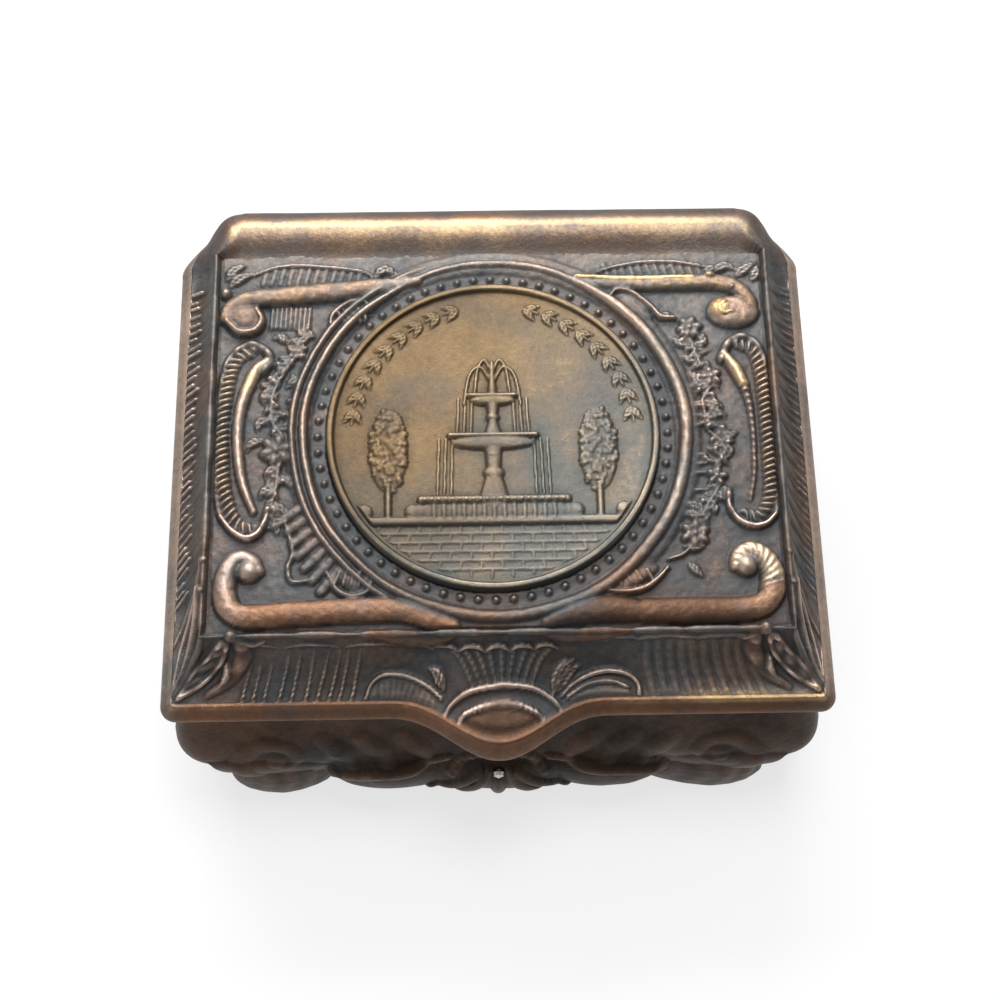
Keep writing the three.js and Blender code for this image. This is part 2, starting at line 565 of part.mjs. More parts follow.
// A corner foot: one lobe on the front or back and one on the side, joined under the hem, flat below.
function foot(side, end) {
  const y = end < 0 ? HEM_FRONT : HEM_BACK;
  const sideX = side * HEM_HALF_WIDTH;
  const frontX = sideX - side * FOOT_FROM_SIDE;
  const sideY = y - end * FOOT_FROM_END;
  const under = HEM_Z - SOLDER;
  const lobes = join([
    lump(frontX, y, FOOT_LOBE_Z, FOOT_LOBE, FOOT_OUT, FOOT_RISE),
    lump(sideX, sideY, FOOT_LOBE_Z, FOOT_OUT_SIDE, FOOT_LOBE, FOOT_RISE),
  ]);
  const corner = block(
    Math.min(frontX, sideX), Math.max(frontX, sideX), Math.min(sideY, y), Math.max(sideY, y), 0, under,
  );
  const hem = sheet(hemInside(SOLDER), CASE_CORNER - WALL, 0, under);
  const shape = lobes.add(solid(corner).intersect(solid(hem)));
  const reach = 2 * RIM_HALF_WIDTH;
  const table = solid(block(-reach, reach, -reach, reach, -reach, 0));
  const above = solid(block(
    -HEM_HALF_WIDTH + WALL, HEM_HALF_WIDTH - WALL, HEM_FRONT + WALL, HEM_BACK - WALL, under, RIM_Z,
  ));
  const grown = caseRings(SOLDER);
  grown[0].forEach((point) => point.setZ(under));
  const wall = solid(loft(grown)).add(caseLobes(SOLDER)).add(caseOrnament());
  return shape.subtract(wall).subtract(above).subtract(table);
}

// The plan line of the tongue in front of the lip.
function tongueReach(x) {
  if (Math.abs(x) >= TONGUE_HALF_WIDTH) return 0;
  const swing = 0.5 + 0.5 * Math.cos((Math.PI * x) / TONGUE_HALF_WIDTH);
  return TONGUE_REACH * swing ** TONGUE_POINT;
}

// The upright lines that the lid's outer skin is drawn through, round the lip from the front left corner.
// Each has a place on the lip, on the crest and on the panel, and its share of the rear roll's section.
function lidColumns() {
  const columns = [];
  const add = (lip, crest, panel, out, roll) => columns.push({ lip, crest, panel, out, roll });
  const frontLine = [-LID_HALF_WIDTH];
  for (let i = 0; i <= TONGUE_STEPS; i++) {
    frontLine.push(TONGUE_HALF_WIDTH * ((2 * i) / TONGUE_STEPS - 1));
  }
  frontLine.push(LID_HALF_WIDTH);
  for (const x of frontLine) {
    const share = x / LID_HALF_WIDTH;
    const corner = Math.abs(share) === 1 ? share : 0;
    const crest = [share * CREST_HALF_WIDTH, COVE_FRONT];
    add([x, -tongueReach(x)], crest, [share * PANEL_HALF_WIDTH, PANEL_FRONT], [corner, -1], 0);
  }
  const cutX = LID_HALF_WIDTH - REAR_CUT;
  const cutY = LID_DEPTH - REAR_CUT;
  const lips = [
    [LID_HALF_WIDTH, COVE_BACK], [LID_HALF_WIDTH, cutY], [(LID_HALF_WIDTH + cutX) / 2, (LID_DEPTH + cutY) / 2],
    [cutX, LID_DEPTH], [cutX - REAR_EASE, LID_DEPTH],
  ];
  const rear = (side) => lips.map(([x, y], i) => {
    const share = i / (lips.length - 1);
    const crestX = CREST_HALF_WIDTH + (cutX - REAR_EASE - CREST_HALF_WIDTH) * share;
    const crestY = PANEL_BACK + (LID_DEPTH - ROLL_CREST - PANEL_BACK) * share;
    const panelX = PANEL_HALF_WIDTH + (cutX - REAR_EASE - PANEL_HALF_WIDTH) * share;
    const roll = Math.min(1, 1.5 * share);
    const out = i === 0 ? [side, 0] : [0, 0];
    return [[side * x, y], [side * crestX, crestY], [side * panelX, PANEL_BACK - ROLL_FOOT * share], out, roll];
  });
  for (const column of [...rear(1), ...rear(-1).reverse()]) add(...column);
  return columns;
}

// The outer skin of the lid: lip, hollow coves on three sides, round roll at the back, sunk panel.
function lidBlank() {
  const columns = lidColumns();
  const lipRing = (z) => columns.map(({ lip, out }) => {
    return new THREE.Vector3(lip[0] + out[0] * LIP_FLARE, lip[1] + out[1] * LIP_FLARE, z);
  });
  const blend = (low, high, share) => low + (high - low) * share;
  const rings = [lipRing(LID_BOTTOM), lipRing(LID_BOTTOM + LIP_FACE)];
  for (let step = 0; step <= COVE_STEPS; step++) {
    const share = step / COVE_STEPS;
    rings.push(columns.map(({ lip, crest, roll }) => {
      const angle = (Math.PI / 2) * blend(blend(LIP_BAND, 1, share), share, roll);
      const inward = blend(Math.sin(angle), 1 - Math.cos(angle), roll);
      const up = blend(COVE_RISE * (1 - Math.cos(angle)), ROLL_RISE * Math.sin(angle), roll);
      const x = blend(lip[0], crest[0], inward);
      const y = blend(lip[1], crest[1], inward);
      return new THREE.Vector3(x, y, LIP_TOP + up);
    }));
  }
  const crestRing = rings[rings.length - 1];
  for (const share of [0.35, 0.65, 1]) {
    const fall = 0.5 - 0.5 * Math.cos(Math.PI * share);
    rings.push(columns.map(({ crest, panel }, i) => new THREE.Vector3(
      blend(crest[0], panel[0], share), blend(crest[1], panel[1], share), blend(crestRing[i].z, PANEL_Z, fall),
    )));
  }
  return loft(rings);
}

// The turned-down edge of the tongue.
function tongueDrop() {
  const rings = [];
  const half = TONGUE_HALF_WIDTH - LIP_HEIGHT;
  for (let i = 0; i <= TONGUE_STEPS; i++) {
    const x = half * ((2 * i) / TONGUE_STEPS - 1);
    const outer = -tongueReach(x) - LIP_FLARE;
    const inner = outer + LIP_HEIGHT;
    const low = LID_BOTTOM - TONGUE_DROP_END - TONGUE_DROP * Math.cos((Math.PI * x) / (2 * half));
    const high = LID_BOTTOM + LIP_FACE / 2;
    rings.push([
      new THREE.Vector3(x, outer, low),
      new THREE.Vector3(x, inner, low),
      new THREE.Vector3(x, inner, high),
      new THREE.Vector3(x, outer, high),
    ]);
  }
  return loft(rings);
}

// The hollow under the lid, which holds its card and pad.
function lidHollow() {
  const lower = {
    left: -LID_HALF_WIDTH + COVE_SIDE / 2 + LID_SKIN / 4,
    right: LID_HALF_WIDTH - COVE_SIDE / 2 - LID_SKIN / 4,
    front: COVE_FRONT / 2 - LID_SKIN / 2,
    back: PANEL_BACK - LID_SKIN,
    radius: PAD_CORNER,
  };
  const upper = {
    left: -PANEL_HALF_WIDTH + LID_SKIN,
    right: PANEL_HALF_WIDTH - LID_SKIN,
    front: PANEL_FRONT + LID_SKIN,
    back: PANEL_BACK - LID_SKIN,
    radius: PAD_CORNER,
  };
  return loft([roundedRing(lower, LID_BOTTOM - SEAM), roundedRing(upper, PANEL_UNDER)]);
}

// The plain ring and the bead band round the medallion, turned about the disc's middle.
function medallionFrame() {
  const profile = (middle, half, height) => {
    const arc = [];
    for (let i = 0; i <= BEAD_STEPS; i++) {
      const angle = Math.PI * (1 - i / BEAD_STEPS);
      arc.push(new THREE.Vector2(middle + half * Math.cos(angle), height * Math.sin(angle)));
    }
    const base = -DISC_SEAT / 2;
    return [new THREE.Vector2(middle - half, base), ...arc, new THREE.Vector2(middle + half, base)];
  };
  const turned = (points) => {
    const ring = new THREE.LatheGeometry([...points, points[0]], ROUND_STEPS).rotateX(Math.PI / 2);
    return ring.translate(0, DISC_Y, PANEL_Z);
  };
  return [
    turned(profile(RING_RADIUS, RING_HALF_WIDTH, RING_HEIGHT)),
    turned(profile(DISC_RADIUS + BEAD_LINE, BEAD_RADIUS, BEAD_RADIUS)),
  ];
}

// The scrolls of the panel, drawn for the right-hand side and mirrored.
function panelScrolls() {
  const fromFront = ([inward, up]) => [PANEL_HALF_WIDTH - inward, PANEL_FRONT + up];
  const fromBack = ([inward, down]) => [PANEL_HALF_WIDTH - inward, PANEL_BACK - down];
  const middle = (PANEL_FRONT + PANEL_BACK) / 2;
  const courses = [
    [[[BAR_GAP, PANEL_FRONT + FRONT_BAR_UP], ...FRONT_CURL.map(fromFront)], BAR_RADIUS],
    [[[REAR_BAR_GAP, PANEL_BACK - REAR_BAR_DOWN], ...REAR_CURL.map(fromBack)], REAR_BAR_RADIUS],
    [[
      ...OUTER_SCROLL_BACK.map(fromBack), [PANEL_HALF_WIDTH - OUTER_SCROLL_IN, middle],
      ...OUTER_SCROLL_FRONT.map(fromFront),
    ], SCROLL_RADIUS],
    [[
      ...INNER_SCROLL_BACK.map(fromBack), [PANEL_HALF_WIDTH - INNER_SCROLL_IN, middle],
      ...INNER_SCROLL_FRONT.map(fromFront),
    ], SCROLL_RADIUS],
  ];
  const ridges = courses.flatMap(([plan, radius]) => {
    return bothSides(plan).map((course) => ridge(course, () => PANEL_Z, radius));
  });
  for (const centre of [fromFront(FRONT_VOLUTE), fromBack(REAR_VOLUTE)]) {
    for (const [[x, y]] of bothSides([centre])) {
      ridges.push(lump(x, y, PANEL_Z, VOLUTE_RADIUS, VOLUTE_RADIUS, VOLUTE_HEIGHT));
    }
  }
  return ridges;
}

// A point of the front cove, at a distance up its curve.
function frontCove(x, up) {
  const angle = (up / FRONT_ARC) * (Math.PI / 2);
  const lip = -tongueReach(x);
  const inward = Math.sin(angle);
  const narrowed = x * (1 - (inward * COVE_SIDE) / LID_HALF_WIDTH);
  return new THREE.Vector3(narrowed, lip + (COVE_FRONT - lip) * inward, LIP_TOP + COVE_RISE * (1 - Math.cos(angle)));
}

// A point of a side cove, at a distance from the front and a distance up its curve.
function sideCove(side) {
  return (back, up) => {
    const y = side * back;
    const angle = (up / SIDE_ARC) * (Math.PI / 2);
    const inward = Math.sin(angle);
    const crest = COVE_FRONT + ((PANEL_BACK - COVE_FRONT) * y) / COVE_BACK;
    const x = LID_HALF_WIDTH - COVE_SIDE * inward;
    return new THREE.Vector3(side * x, y + (crest - y) * inward, LIP_TOP + COVE_RISE * (1 - Math.cos(angle)));
  };
}

const panelTop = (x, y) => new THREE.Vector3(x, y, PANEL_Z);

// The shell on the tongue, the leaves and ribs in the front cove, and the leaves and ticks in the side coves.
function coveOrnament() {
  const made = SHELL_ARCHES.map((arch) => crease(acrossMiddle(arch), frontCove, BOLD));
  const { up, halfWidth, halfDepth, height } = SHELL_BOSS;
  made.push(knob([0, up], frontCove, halfWidth, halfDepth, height));
  const corner = (course) => course.map(([inward, rise]) => [LID_HALF_WIDTH - inward, rise]);
  const courses = [[corner(CORNER_LOBE), BROAD], [corner(CORNER_LOOP), BOLD]];
  courses.push(...[...SHELL_RIBS.slice(1), ...SHELL_SCALLOPS.slice(1), ...COVE_SCALLOPS].map((line) => [line, FINE]));
  courses.push(...LEAF_ARCHES.map((line) => [line, BOLD]));
  for (let x = COVE_RIBS.first; x <= LID_HALF_WIDTH - COVE_RIBS.fromCorner; x += COVE_RIBS.pitch) {
    courses.push([[[x, COVE_RIBS.low], [x - COVE_RIBS.lean, COVE_RIBS.high]], FINE]);
  }
  for (const [course, section] of courses) {
    made.push(...bothSides(course).map((line) => crease(line, frontCove, section)));
  }
  made.push(crease(SHELL_RIBS[0], frontCove, FINE), crease(SHELL_SCALLOPS[0], frontCove, FINE));
  for (const side of [-1, 1]) {
    const along = (course) => course.map(([y, rise]) => [side * y, rise]);
    made.push(crease(along(SIDE_LOOP), sideCove(side), BOLD), crease(along(SIDE_LEAF), sideCove(side), BOLD));
    for (let y = SIDE_TICKS.first; y <= COVE_BACK - SIDE_TICKS.fromBack; y += SIDE_TICKS.pitch) {
      made.push(crease(along([[y, SIDE_TICKS.low], [y, SIDE_TICKS.high]]), sideCove(side), FINE));
    }
  }
  return made;
}

// The clasps on the ring, and the sprigs and leaves in the corners of the panel.
function panelOrnament() {
  const made = [];
  const fromDisc = (course) => course.map(([x, y]) => [x, DISC_Y + y]);
  const fromSide = (course) => course.map(([inward, y]) => [PANEL_HALF_WIDTH - inward, DISC_Y + y]);
  const courses = CLASPS.map((course) => [fromDisc(course), BOLD]);
  courses.push(...SPRIG_STEMS.map((course) => [fromSide(course), FINE]));
  courses.push([REAR_LEAF.map(([x, down]) => [x, PANEL_BACK - down]), FINE]);
  for (const [course, section] of courses) {
    made.push(...bothSides(course).map((line) => crease(line, panelTop, section)));
  }
  for (const point of fromSide(SPRIG_FLOWERS)) {
    for (const [place] of bothSides([point])) {
      made.push(knob(place, panelTop, FLOWER.radius, FLOWER.radius, FLOWER.height));
    }
  }
  return made;
}

function hingeRods(radius, first, gap) {
  const pitch = HINGE_LENGTH / KNUCKLES;
  const rods = [];
  for (let i = first; i < KNUCKLES; i += 2) {
    const left = -HINGE_LENGTH / 2 + i * pitch;
    rods.push(rod(radius, left + gap / 2, left + pitch - gap / 2, HINGE_Y, HINGE_Z));
  }
  return join(rods);
}

// The hinge leaf soldered to the back of the case, with its knuckles.
function caseLeaf() {
  const half = HINGE_LENGTH / 2;
  const front = RIM_BACK + SOLDER;
  const plate = solid(block(-half, half, front, front + LEAF_THICKNESS, HINGE_Z - LEAF_LENGTH, HINGE_Z));
  const bore = solid(rod(BORE_RADIUS, -HINGE_LENGTH, HINGE_LENGTH, HINGE_Y, HINGE_Z));
  const others = hingeRods(BARREL_RADIUS + FIT, 1, -KNUCKLE_GAP);
  return plate.subtract(others).add(hingeRods(BARREL_RADIUS, 0, KNUCKLE_GAP)).subtract(bore);
}

// The hinge leaf let into the underside of the lid, with its knuckles.
const leafBack = Math.min(HINGE_Y + BARREL_RADIUS / 2, LID_DEPTH);
const leafFront = leafBack - LEAF_LENGTH;

function lidLeaf() {
  const half = HINGE_LENGTH / 2;
  const low = LID_BOTTOM + SOLDER / 2;
  const plate = solid(block(-half, half, leafFront, leafBack, low, low + LEAF_THICKNESS));
  const pitch = HINGE_LENGTH / KNUCKLES;
  let leaf = plate;
  for (let i = 1; i < KNUCKLES; i += 2) {
    const left = -half + i * pitch + KNUCKLE_GAP / 2;
    const right = left + pitch - KNUCKLE_GAP;
    const web = block(left, right, HINGE_Y - BARREL_RADIUS / 2, leafBack, HINGE_Z, low + LEAF_THICKNESS);
    leaf = leaf.add(solid(web));
  }
  const bore = solid(rod(BORE_RADIUS, -HINGE_LENGTH, HINGE_LENGTH, HINGE_Y, HINGE_Z));
  return leaf.add(hingeRods(BARREL_RADIUS, 1, KNUCKLE_GAP)).subtract(bore);
}

function lidShell() {
  const half = HINGE_LENGTH / 2 + FIT;
  const top = LID_BOTTOM + SOLDER / 2 + LEAF_THICKNESS + SOLDER;
  const leafSeat = block(-half, half, leafFront - FIT, LID_DEPTH + SEAM, LID_BOTTOM - SEAM, top);
  const seatHeight = DISC_SEAT + RING_HEIGHT;
  const seat = new THREE.CylinderGeometry(DISC_RADIUS + FIT, DISC_RADIUS + FIT, seatHeight, ROUND_STEPS);
  seat.rotateX(Math.PI / 2).translate(0, DISC_Y, SEAT_Z + seatHeight / 2);
  const ornament = [...coveOrnament(), ...panelOrnament(), ...panelScrolls(), ...medallionFrame()];
  return join([lidBlank(), tongueDrop(), ...ornament])
    .subtract(solid(lidHollow()))
    .subtract(solid(leafSeat))
    .subtract(solid(seat));
}

// The struck disc: a raised rim, and a fountain between two trees on a terrace in low relief.
function medallion() {
  const rim = DISC_RADIUS - DISC_RIM_WIDTH;
  const profile = [
    [0, DISC_BOTTOM], [DISC_RADIUS, DISC_BOTTOM], [DISC_RADIUS, FIELD_Z + DISC_RIM_HEIGHT],
    [rim, FIELD_Z + DISC_RIM_HEIGHT], [rim - DISC_RIM_HEIGHT, FIELD_Z], [0, FIELD_Z],
  ];
  const disc = new THREE.LatheGeometry(profile.map(([r, z]) => new THREE.Vector2(r, z)), ROUND_STEPS);
  disc.rotateX(Math.PI / 2).translate(0, DISC_Y, 0);
  const terrace = DISC_Y - TERRACE_BELOW;
  const chord = Math.sqrt((rim - TERRACE_FROM_RIM) ** 2 - TERRACE_BELOW ** 2);
  const low = FIELD_Z - RELIEF;
  const high = FIELD_Z + RELIEF;
  const field = (x, up) => new THREE.Vector3(x, terrace + up, FIELD_Z);
  const bar = (left, right, from, to) => block(left, right, terrace + from, terrace + to, low, high);
  const relief = [bar(-chord, chord, -TERRACE_HALF_HEIGHT, TERRACE_HALF_HEIGHT)];
  for (const [halfWidth, from, to] of FOUNTAIN_BARS) relief.push(bar(-halfWidth, halfWidth, from, to));
  for (const [x, up, halfWidth, halfHeight] of FOUNTAIN_LUMPS) {
    relief.push(knob([x, up], field, halfWidth, halfHeight, RELIEF));
  }
  for (const side of [-1, 1]) {
    const trunk = side * TRUNK.fromMiddle;
    relief.push(bar(trunk - TRUNK.halfWidth, trunk + TRUNK.halfWidth, 0, TRUNK.height));
    for (const [x, up, halfWidth, halfHeight] of GARDEN_LUMPS) {
      relief.push(knob([side * x, up], field, halfWidth, halfHeight, RELIEF));
    }
    for (const jet of JETS) relief.push(crease(jet.map(([x, up]) => [side * x, up]), field, JET));
    relief.push(...sprig(side, rim - SPRIG_FROM_RIM, (x, y) => field(x, y + TERRACE_BELOW)));
  }
  return join([disc, ...relief]);
}

// A sprig of paired leaves along the upper rim of the disc, on one side.
function sprig(side, radius, field) {
  const leaves = [];
  for (let i = 0; i < SPRIG_LEAVES; i++) {
    const foot = Math.PI / 2 + side * (SPRIG_START + SPRIG_PITCH * i) * (Math.PI / 180);
    const tip = foot + side * SPRIG_TURN * (Math.PI / 180);
    for (const spread of [-SPRIG_LEAF.spread, SPRIG_LEAF.spread]) {
      const at = (angle, reach) => [reach * Math.cos(angle), reach * Math.sin(angle)];
      const course = [at(foot, radius), at(tip, radius + spread)];
      leaves.push(crease(course, field, SPRIG_LEAF));
    }
  }
  return leaves;
}

// A pad with rounded edges between two heights.
function pad(plan, low, high) {
  const ring = (inset, z) => roundedRing({
    left: plan.left + inset,
    right: plan.right - inset,
    front: plan.front + inset,
    back: plan.back - inset,
    radius: PAD_CORNER,
  }, z);
  const round = Math.min(PAD_ROUND, (high - low) / 2.5);
  return loft([ring(round, low), ring(0, low + round), ring(0, high - round), ring(round, high)]);
}

// A flat sheet with rounded corners.
function sheet(plan, radius, low, high) {
  return loft([roundedRing({ ...plan, radius }, low), roundedRing({ ...plan, radius }, high)]);
}

// The inside of the case at the height of the bottom plate, drawn in by an amount.
function hemInside(inset) {
  return {
    left: -HEM_HALF_WIDTH + WALL + inset,
    right: HEM_HALF_WIDTH - WALL - inset,
    front: HEM_FRONT + WALL + inset,
    back: HEM_BACK - WALL - inset,
  };
}

// The space between the linings.
const roomPlan = {
  left: -LINING_OUTSIDE + LINING_THICKNESS + FIT,
  right: LINING_OUTSIDE - LINING_THICKNESS - FIT,
  front: LINING_FRONT + LINING_THICKNESS + FIT,
  back: LINING_BACK - LINING_THICKNESS - FIT,
};
const liningLow = FLOOR_Z + FIT;
const liningHigh = RIM_Z - RIM_HEIGHT - FIT;
const floorCardTop = liningLow + CARD_THICKNESS;
const floorPadLow = floorCardTop + FIT;

function liningSide(side) {
  const inner = side * (LINING_OUTSIDE - LINING_THICKNESS);
  const outer = side * LINING_OUTSIDE;
  const low = Math.min(inner, outer);
  return block(low, low + LINING_THICKNESS, roomPlan.front, roomPlan.back, liningLow, liningHigh);
}

function liningEnd(front) {
  return block(-LINING_OUTSIDE, LINING_OUTSIDE, front, front + LINING_THICKNESS, liningLow, liningHigh);
}

// The card and the pad in the hollow of the lid.
const lidCardPlan = {
  left: -PANEL_HALF_WIDTH + LID_SKIN + FIT,
  right: PANEL_HALF_WIDTH - LID_SKIN - FIT,
  front: PANEL_FRONT + LID_SKIN + FIT,
  back: PANEL_BACK - LID_SKIN - FIT,
};
const lidCardTop = PANEL_UNDER - FIT;
const lidCardLow = lidCardTop - CARD_THICKNESS;
const lidPadTop = lidCardLow - FIT;

// A round-headed stud, its shank in the front lobe and its head outside.
function stud() {
  const rise = (STUD_Z - LOBE_Z) / LOBE_HEIGHT;
  const face = HEM_FRONT - LOBE_OUT * Math.sqrt(1 - rise ** 2);
  const profile = [
    [0, 0], [STUD_SHANK_RADIUS, 0], [STUD_SHANK_RADIUS, STUD_LENGTH], [STUD_RADIUS, STUD_LENGTH + FIT],
    [STUD_RADIUS * 0.85, STUD_LENGTH + FIT + STUD_RADIUS * 0.6], [0, STUD_LENGTH + FIT + STUD_RADIUS],
  ];
  const turned = new THREE.LatheGeometry(profile.map(([r, h]) => new THREE.Vector2(r, h)), SMALL_ROUND);
  return turned.rotateX(Math.PI).translate(0, face + STUD_LENGTH, STUD_Z);
}

const COPPER_DARK = metal(0x4a3428, 0.45);
const COPPER = metal(0x8a6448, 0.4);
const BRONZE = metal(0x8f7a56, 0.42);
const BRASS = metal(0xa8844a, 0.4);
const BRIGHT = metal(0xc9b9a0, 0.25);
const VELVET = cloth(0x5c1722);
const CARD = cloth(0x9b8a6c);
const FELT = cloth(0x27352c);

const feltTop = PLATE_Z - FIT;
const pinHalf = HINGE_LENGTH / 2 + PIN_OVERHANG;
const caseGroup = new THREE.Group();
caseGroup.add(
  piece("case_shell", geometryOf(caseShell()), COPPER_DARK),
  piece("bottom_plate", sheet(hemInside(FIT), CASE_CORNER - WALL, PLATE_Z, FLOOR_Z), COPPER_DARK),
  piece("base_felt", sheet(hemInside(2 * FIT), CASE_CORNER - WALL, feltTop - FELT_THICKNESS, feltTop), FELT),
  piece("floor_card", sheet(roomPlan, PAD_CORNER, liningLow, floorCardTop), CARD),
  piece("floor_pad", pad(roomPlan, floorPadLow, floorPadLow + FLOOR_PAD_THICKNESS), VELVET),
  piece("lining_left", liningSide(-1), VELVET),
  piece("lining_right", liningSide(1), VELVET),
  piece("lining_front", liningEnd(LINING_FRONT), VELVET),
  piece("lining_back", liningEnd(LINING_BACK - LINING_THICKNESS), VELVET),
  piece("front_stud", stud(), BRIGHT),
  piece("hinge_leaf_case", geometryOf(caseLeaf()), BRASS),
  piece("hinge_pin", rod(PIN_RADIUS, -pinHalf, pinHalf, HINGE_Y, HINGE_Z), BRIGHT),
);
for (const [end, endName] of [[-1, "front"], [1, "back"]]) {
  for (const [side, sideName] of [[-1, "left"], [1, "right"]]) {
    caseGroup.add(piece(`foot_${endName}_${sideName}`, geometryOf(foot(side, end)), COPPER_DARK));
  }
}

const lidGroup = new THREE.Group();
lidGroup.add(
  piece("lid_shell", geometryOf(lidShell()), COPPER),
  piece("medallion_disc", geometryOf(medallion()), BRONZE),
  piece("hinge_leaf_lid", geometryOf(lidLeaf()), BRASS),
  piece("lid_card", sheet(lidCardPlan, PAD_CORNER, lidCardLow, lidCardTop), CARD),
  piece("lid_pad", pad(lidCardPlan, lidPadTop - LID_PAD_THICKNESS, lidPadTop), VELVET),
);

const box = new THREE.Group();
box.add(caseGroup, lidGroup);
box.position.y = -(BOX_FRONT + BOX_BACK) / 2;

export default box;
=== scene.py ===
import math

import bmesh
import bpy
import numpy as np
from mathutils import Matrix, Vector


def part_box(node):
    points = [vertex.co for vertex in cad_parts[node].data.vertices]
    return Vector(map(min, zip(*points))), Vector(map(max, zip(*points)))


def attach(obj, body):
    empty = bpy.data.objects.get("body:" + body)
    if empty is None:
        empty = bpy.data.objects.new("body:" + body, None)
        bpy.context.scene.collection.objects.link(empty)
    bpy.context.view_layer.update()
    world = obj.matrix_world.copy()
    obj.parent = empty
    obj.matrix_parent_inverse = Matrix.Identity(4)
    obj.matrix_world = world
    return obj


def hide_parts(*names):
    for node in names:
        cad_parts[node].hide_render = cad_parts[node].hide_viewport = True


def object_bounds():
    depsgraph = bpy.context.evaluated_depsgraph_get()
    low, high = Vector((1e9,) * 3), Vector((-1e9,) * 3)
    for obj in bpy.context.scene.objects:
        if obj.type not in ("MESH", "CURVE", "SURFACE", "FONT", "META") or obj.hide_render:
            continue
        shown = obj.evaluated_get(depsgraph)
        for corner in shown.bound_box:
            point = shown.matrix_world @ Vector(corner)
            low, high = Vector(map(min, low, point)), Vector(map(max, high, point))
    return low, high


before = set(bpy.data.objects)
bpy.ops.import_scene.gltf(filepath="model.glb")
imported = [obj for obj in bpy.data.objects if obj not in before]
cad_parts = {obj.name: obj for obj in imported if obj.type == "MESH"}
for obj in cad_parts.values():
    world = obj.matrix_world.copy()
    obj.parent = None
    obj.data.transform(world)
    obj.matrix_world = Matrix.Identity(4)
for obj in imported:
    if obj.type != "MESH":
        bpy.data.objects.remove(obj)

# Looks of a small patinated copper trinket box with a struck medallion in its lid.
# Shapes are written in mm, with y measured from the front line of the lid.
cad_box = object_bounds()
MM = 0.001
FRONT_LINE = -23.025  # front line of the lid in the part's frame
FRONT_SHIFT = np.array([0, FRONT_LINE, 0])
BOX_LOW, BOX_HIGH = (np.array(corner) / MM for corner in cad_box)

# Sizes shared with the solids
LID_HALF = 29.5
LID_DEPTH = 49.5
LID_BOTTOM = 18.3
LIP_TOP = 19.7
LIP_RISE = 1.4
LIP_FLARE = 0.5
LIP_WIDTH = 1.4
LIP_CORNER = 0.9
LIP_FLAT = LID_HALF - LIP_CORNER
TONGUE_HALF = 10
TONGUE_REACH = 3.7
TONGUE_POINT = 1.3
TONGUE_DROP = 1.1
CREST_HALF = 26
CREST_FRONT = 5.5
CREST_Z = 24.2
COVE_RISE = CREST_Z - LIP_TOP
PANEL_HALF = 25.5
PANEL_FRONT = 6
PANEL_BACK = 43.5
PANEL_Z = 23.7
PANEL_UNDER = 22.4
SIDE_END = 43.4  # where the side of the lid turns into its rear corner
ROLL_HALF = 23.6
ROLL_Y = 45.9
ROLL_Z = 24.7
ROLL_FOOT = 42.8
HOLLOW_LOW = (27.4, 2.1, 42.2)  # half width, front and back of the hollow under the lid, at its mouth
HOLLOW_HIGH = (24.2, 7.3, 42.2)  # and at its ceiling
HOLLOW_REAR = 23  # half width of its ceiling under the roll
DISC_X = -0.15
DISC_Y = 24.6
DISC_RADIUS = 15.15
DISC_BOTTOM = 23.15
FIELD_Z = 24.2
RING_RADIUS = 17.6

RIM_HALF = 29
RIM_FRONT = 0.7
RIM_BACK = 47.6
RIM_Z = 18
RIM_UNDER = 16.8
HEM_Z = 2.4
HEM_TOP = 4.6
BELLY_Z = 9.5
NECK_Z = 15.6
CASE_CORNER = 2.8
WALL = 1.2
MOUTH = (25.38, 2.92, 43.78)  # half width, front and back of the opening in the rim
LOBE_Z = 5
LOBE_HEIGHT = 4.6
HEM_HALF = 27.6
HEM_FRONT = -1.0
HEM_BACK = 46
# Middle, half width and reach of each lobe of the apron
FRONT_LOBES = ((0, 8, 2.6), (-10, 6.4, 2.4), (10, 6.4, 2.4))
SIDE_LOBES = ((22.5, 9, 2.3),)


# Lines, noise and heights
def spline(points, step=0.2):
    """A smooth line through plan points, as many close points."""
    knots = np.asarray(points, float)
    ends = np.vstack([2 * knots[0] - knots[1], knots, 2 * knots[-1] - knots[-2]])
    made = []
    for k in range(len(knots) - 1):
        a, b, c, d = ends[k:k + 4]
        count = max(2, int(np.hypot(*(c - b)) / step))
        t = np.linspace(0, 1, count, endpoint=False)[:, None]
        bend = (2 * a - 5 * b + 4 * c - d) * t ** 2 + (3 * b - a - 3 * c + d) * t ** 3
        made.append(b + 0.5 * ((c - a) * t + bend))
    made.append(knots[-1:])
    return np.vstack(made)


def noise(x, y, size, seed):
    """Smooth random values from -1 to 1 that change over about the given size."""
    cells = 64
    lattice = np.random.default_rng(seed).uniform(-1, 1, (cells, cells))
    i = np.floor(x / size).astype(int)
    j = np.floor(y / size).astype(int)
    f = x / size - i
    g = y / size - j
    f = f * f * (3 - 2 * f)
    g = g * g * (3 - 2 * g)
    corner = lambda a, b: lattice[(i + a) % cells, (j + b) % cells]
    low = corner(0, 0) * (1 - f) + corner(1, 0) * f
    high = corner(0, 1) * (1 - f) + corner(1, 1) * f
    return low * (1 - g) + high * g


def blur(values, cells):
    """Values averaged over a square of neighbours."""
    size = 2 * cells + 1
    for axis in (0, 1):
        pad = [(0, 0), (0, 0)]
        pad[axis] = (cells + 1, cells)
        total = np.cumsum(np.pad(values, pad, mode="edge"), axis=axis)
        ahead = np.take(total, np.arange(size, total.shape[axis]), axis)
        behind = np.take(total, np.arange(total.shape[axis] - size), axis)
        values = (ahead - behind) / size
    return values


def smooth(low, high, values):
    """Rises from 0 to 1 between two values."""
    t = np.clip((values - low) / (high - low), 0, 1)
    return t * t * (3 - 2 * t)


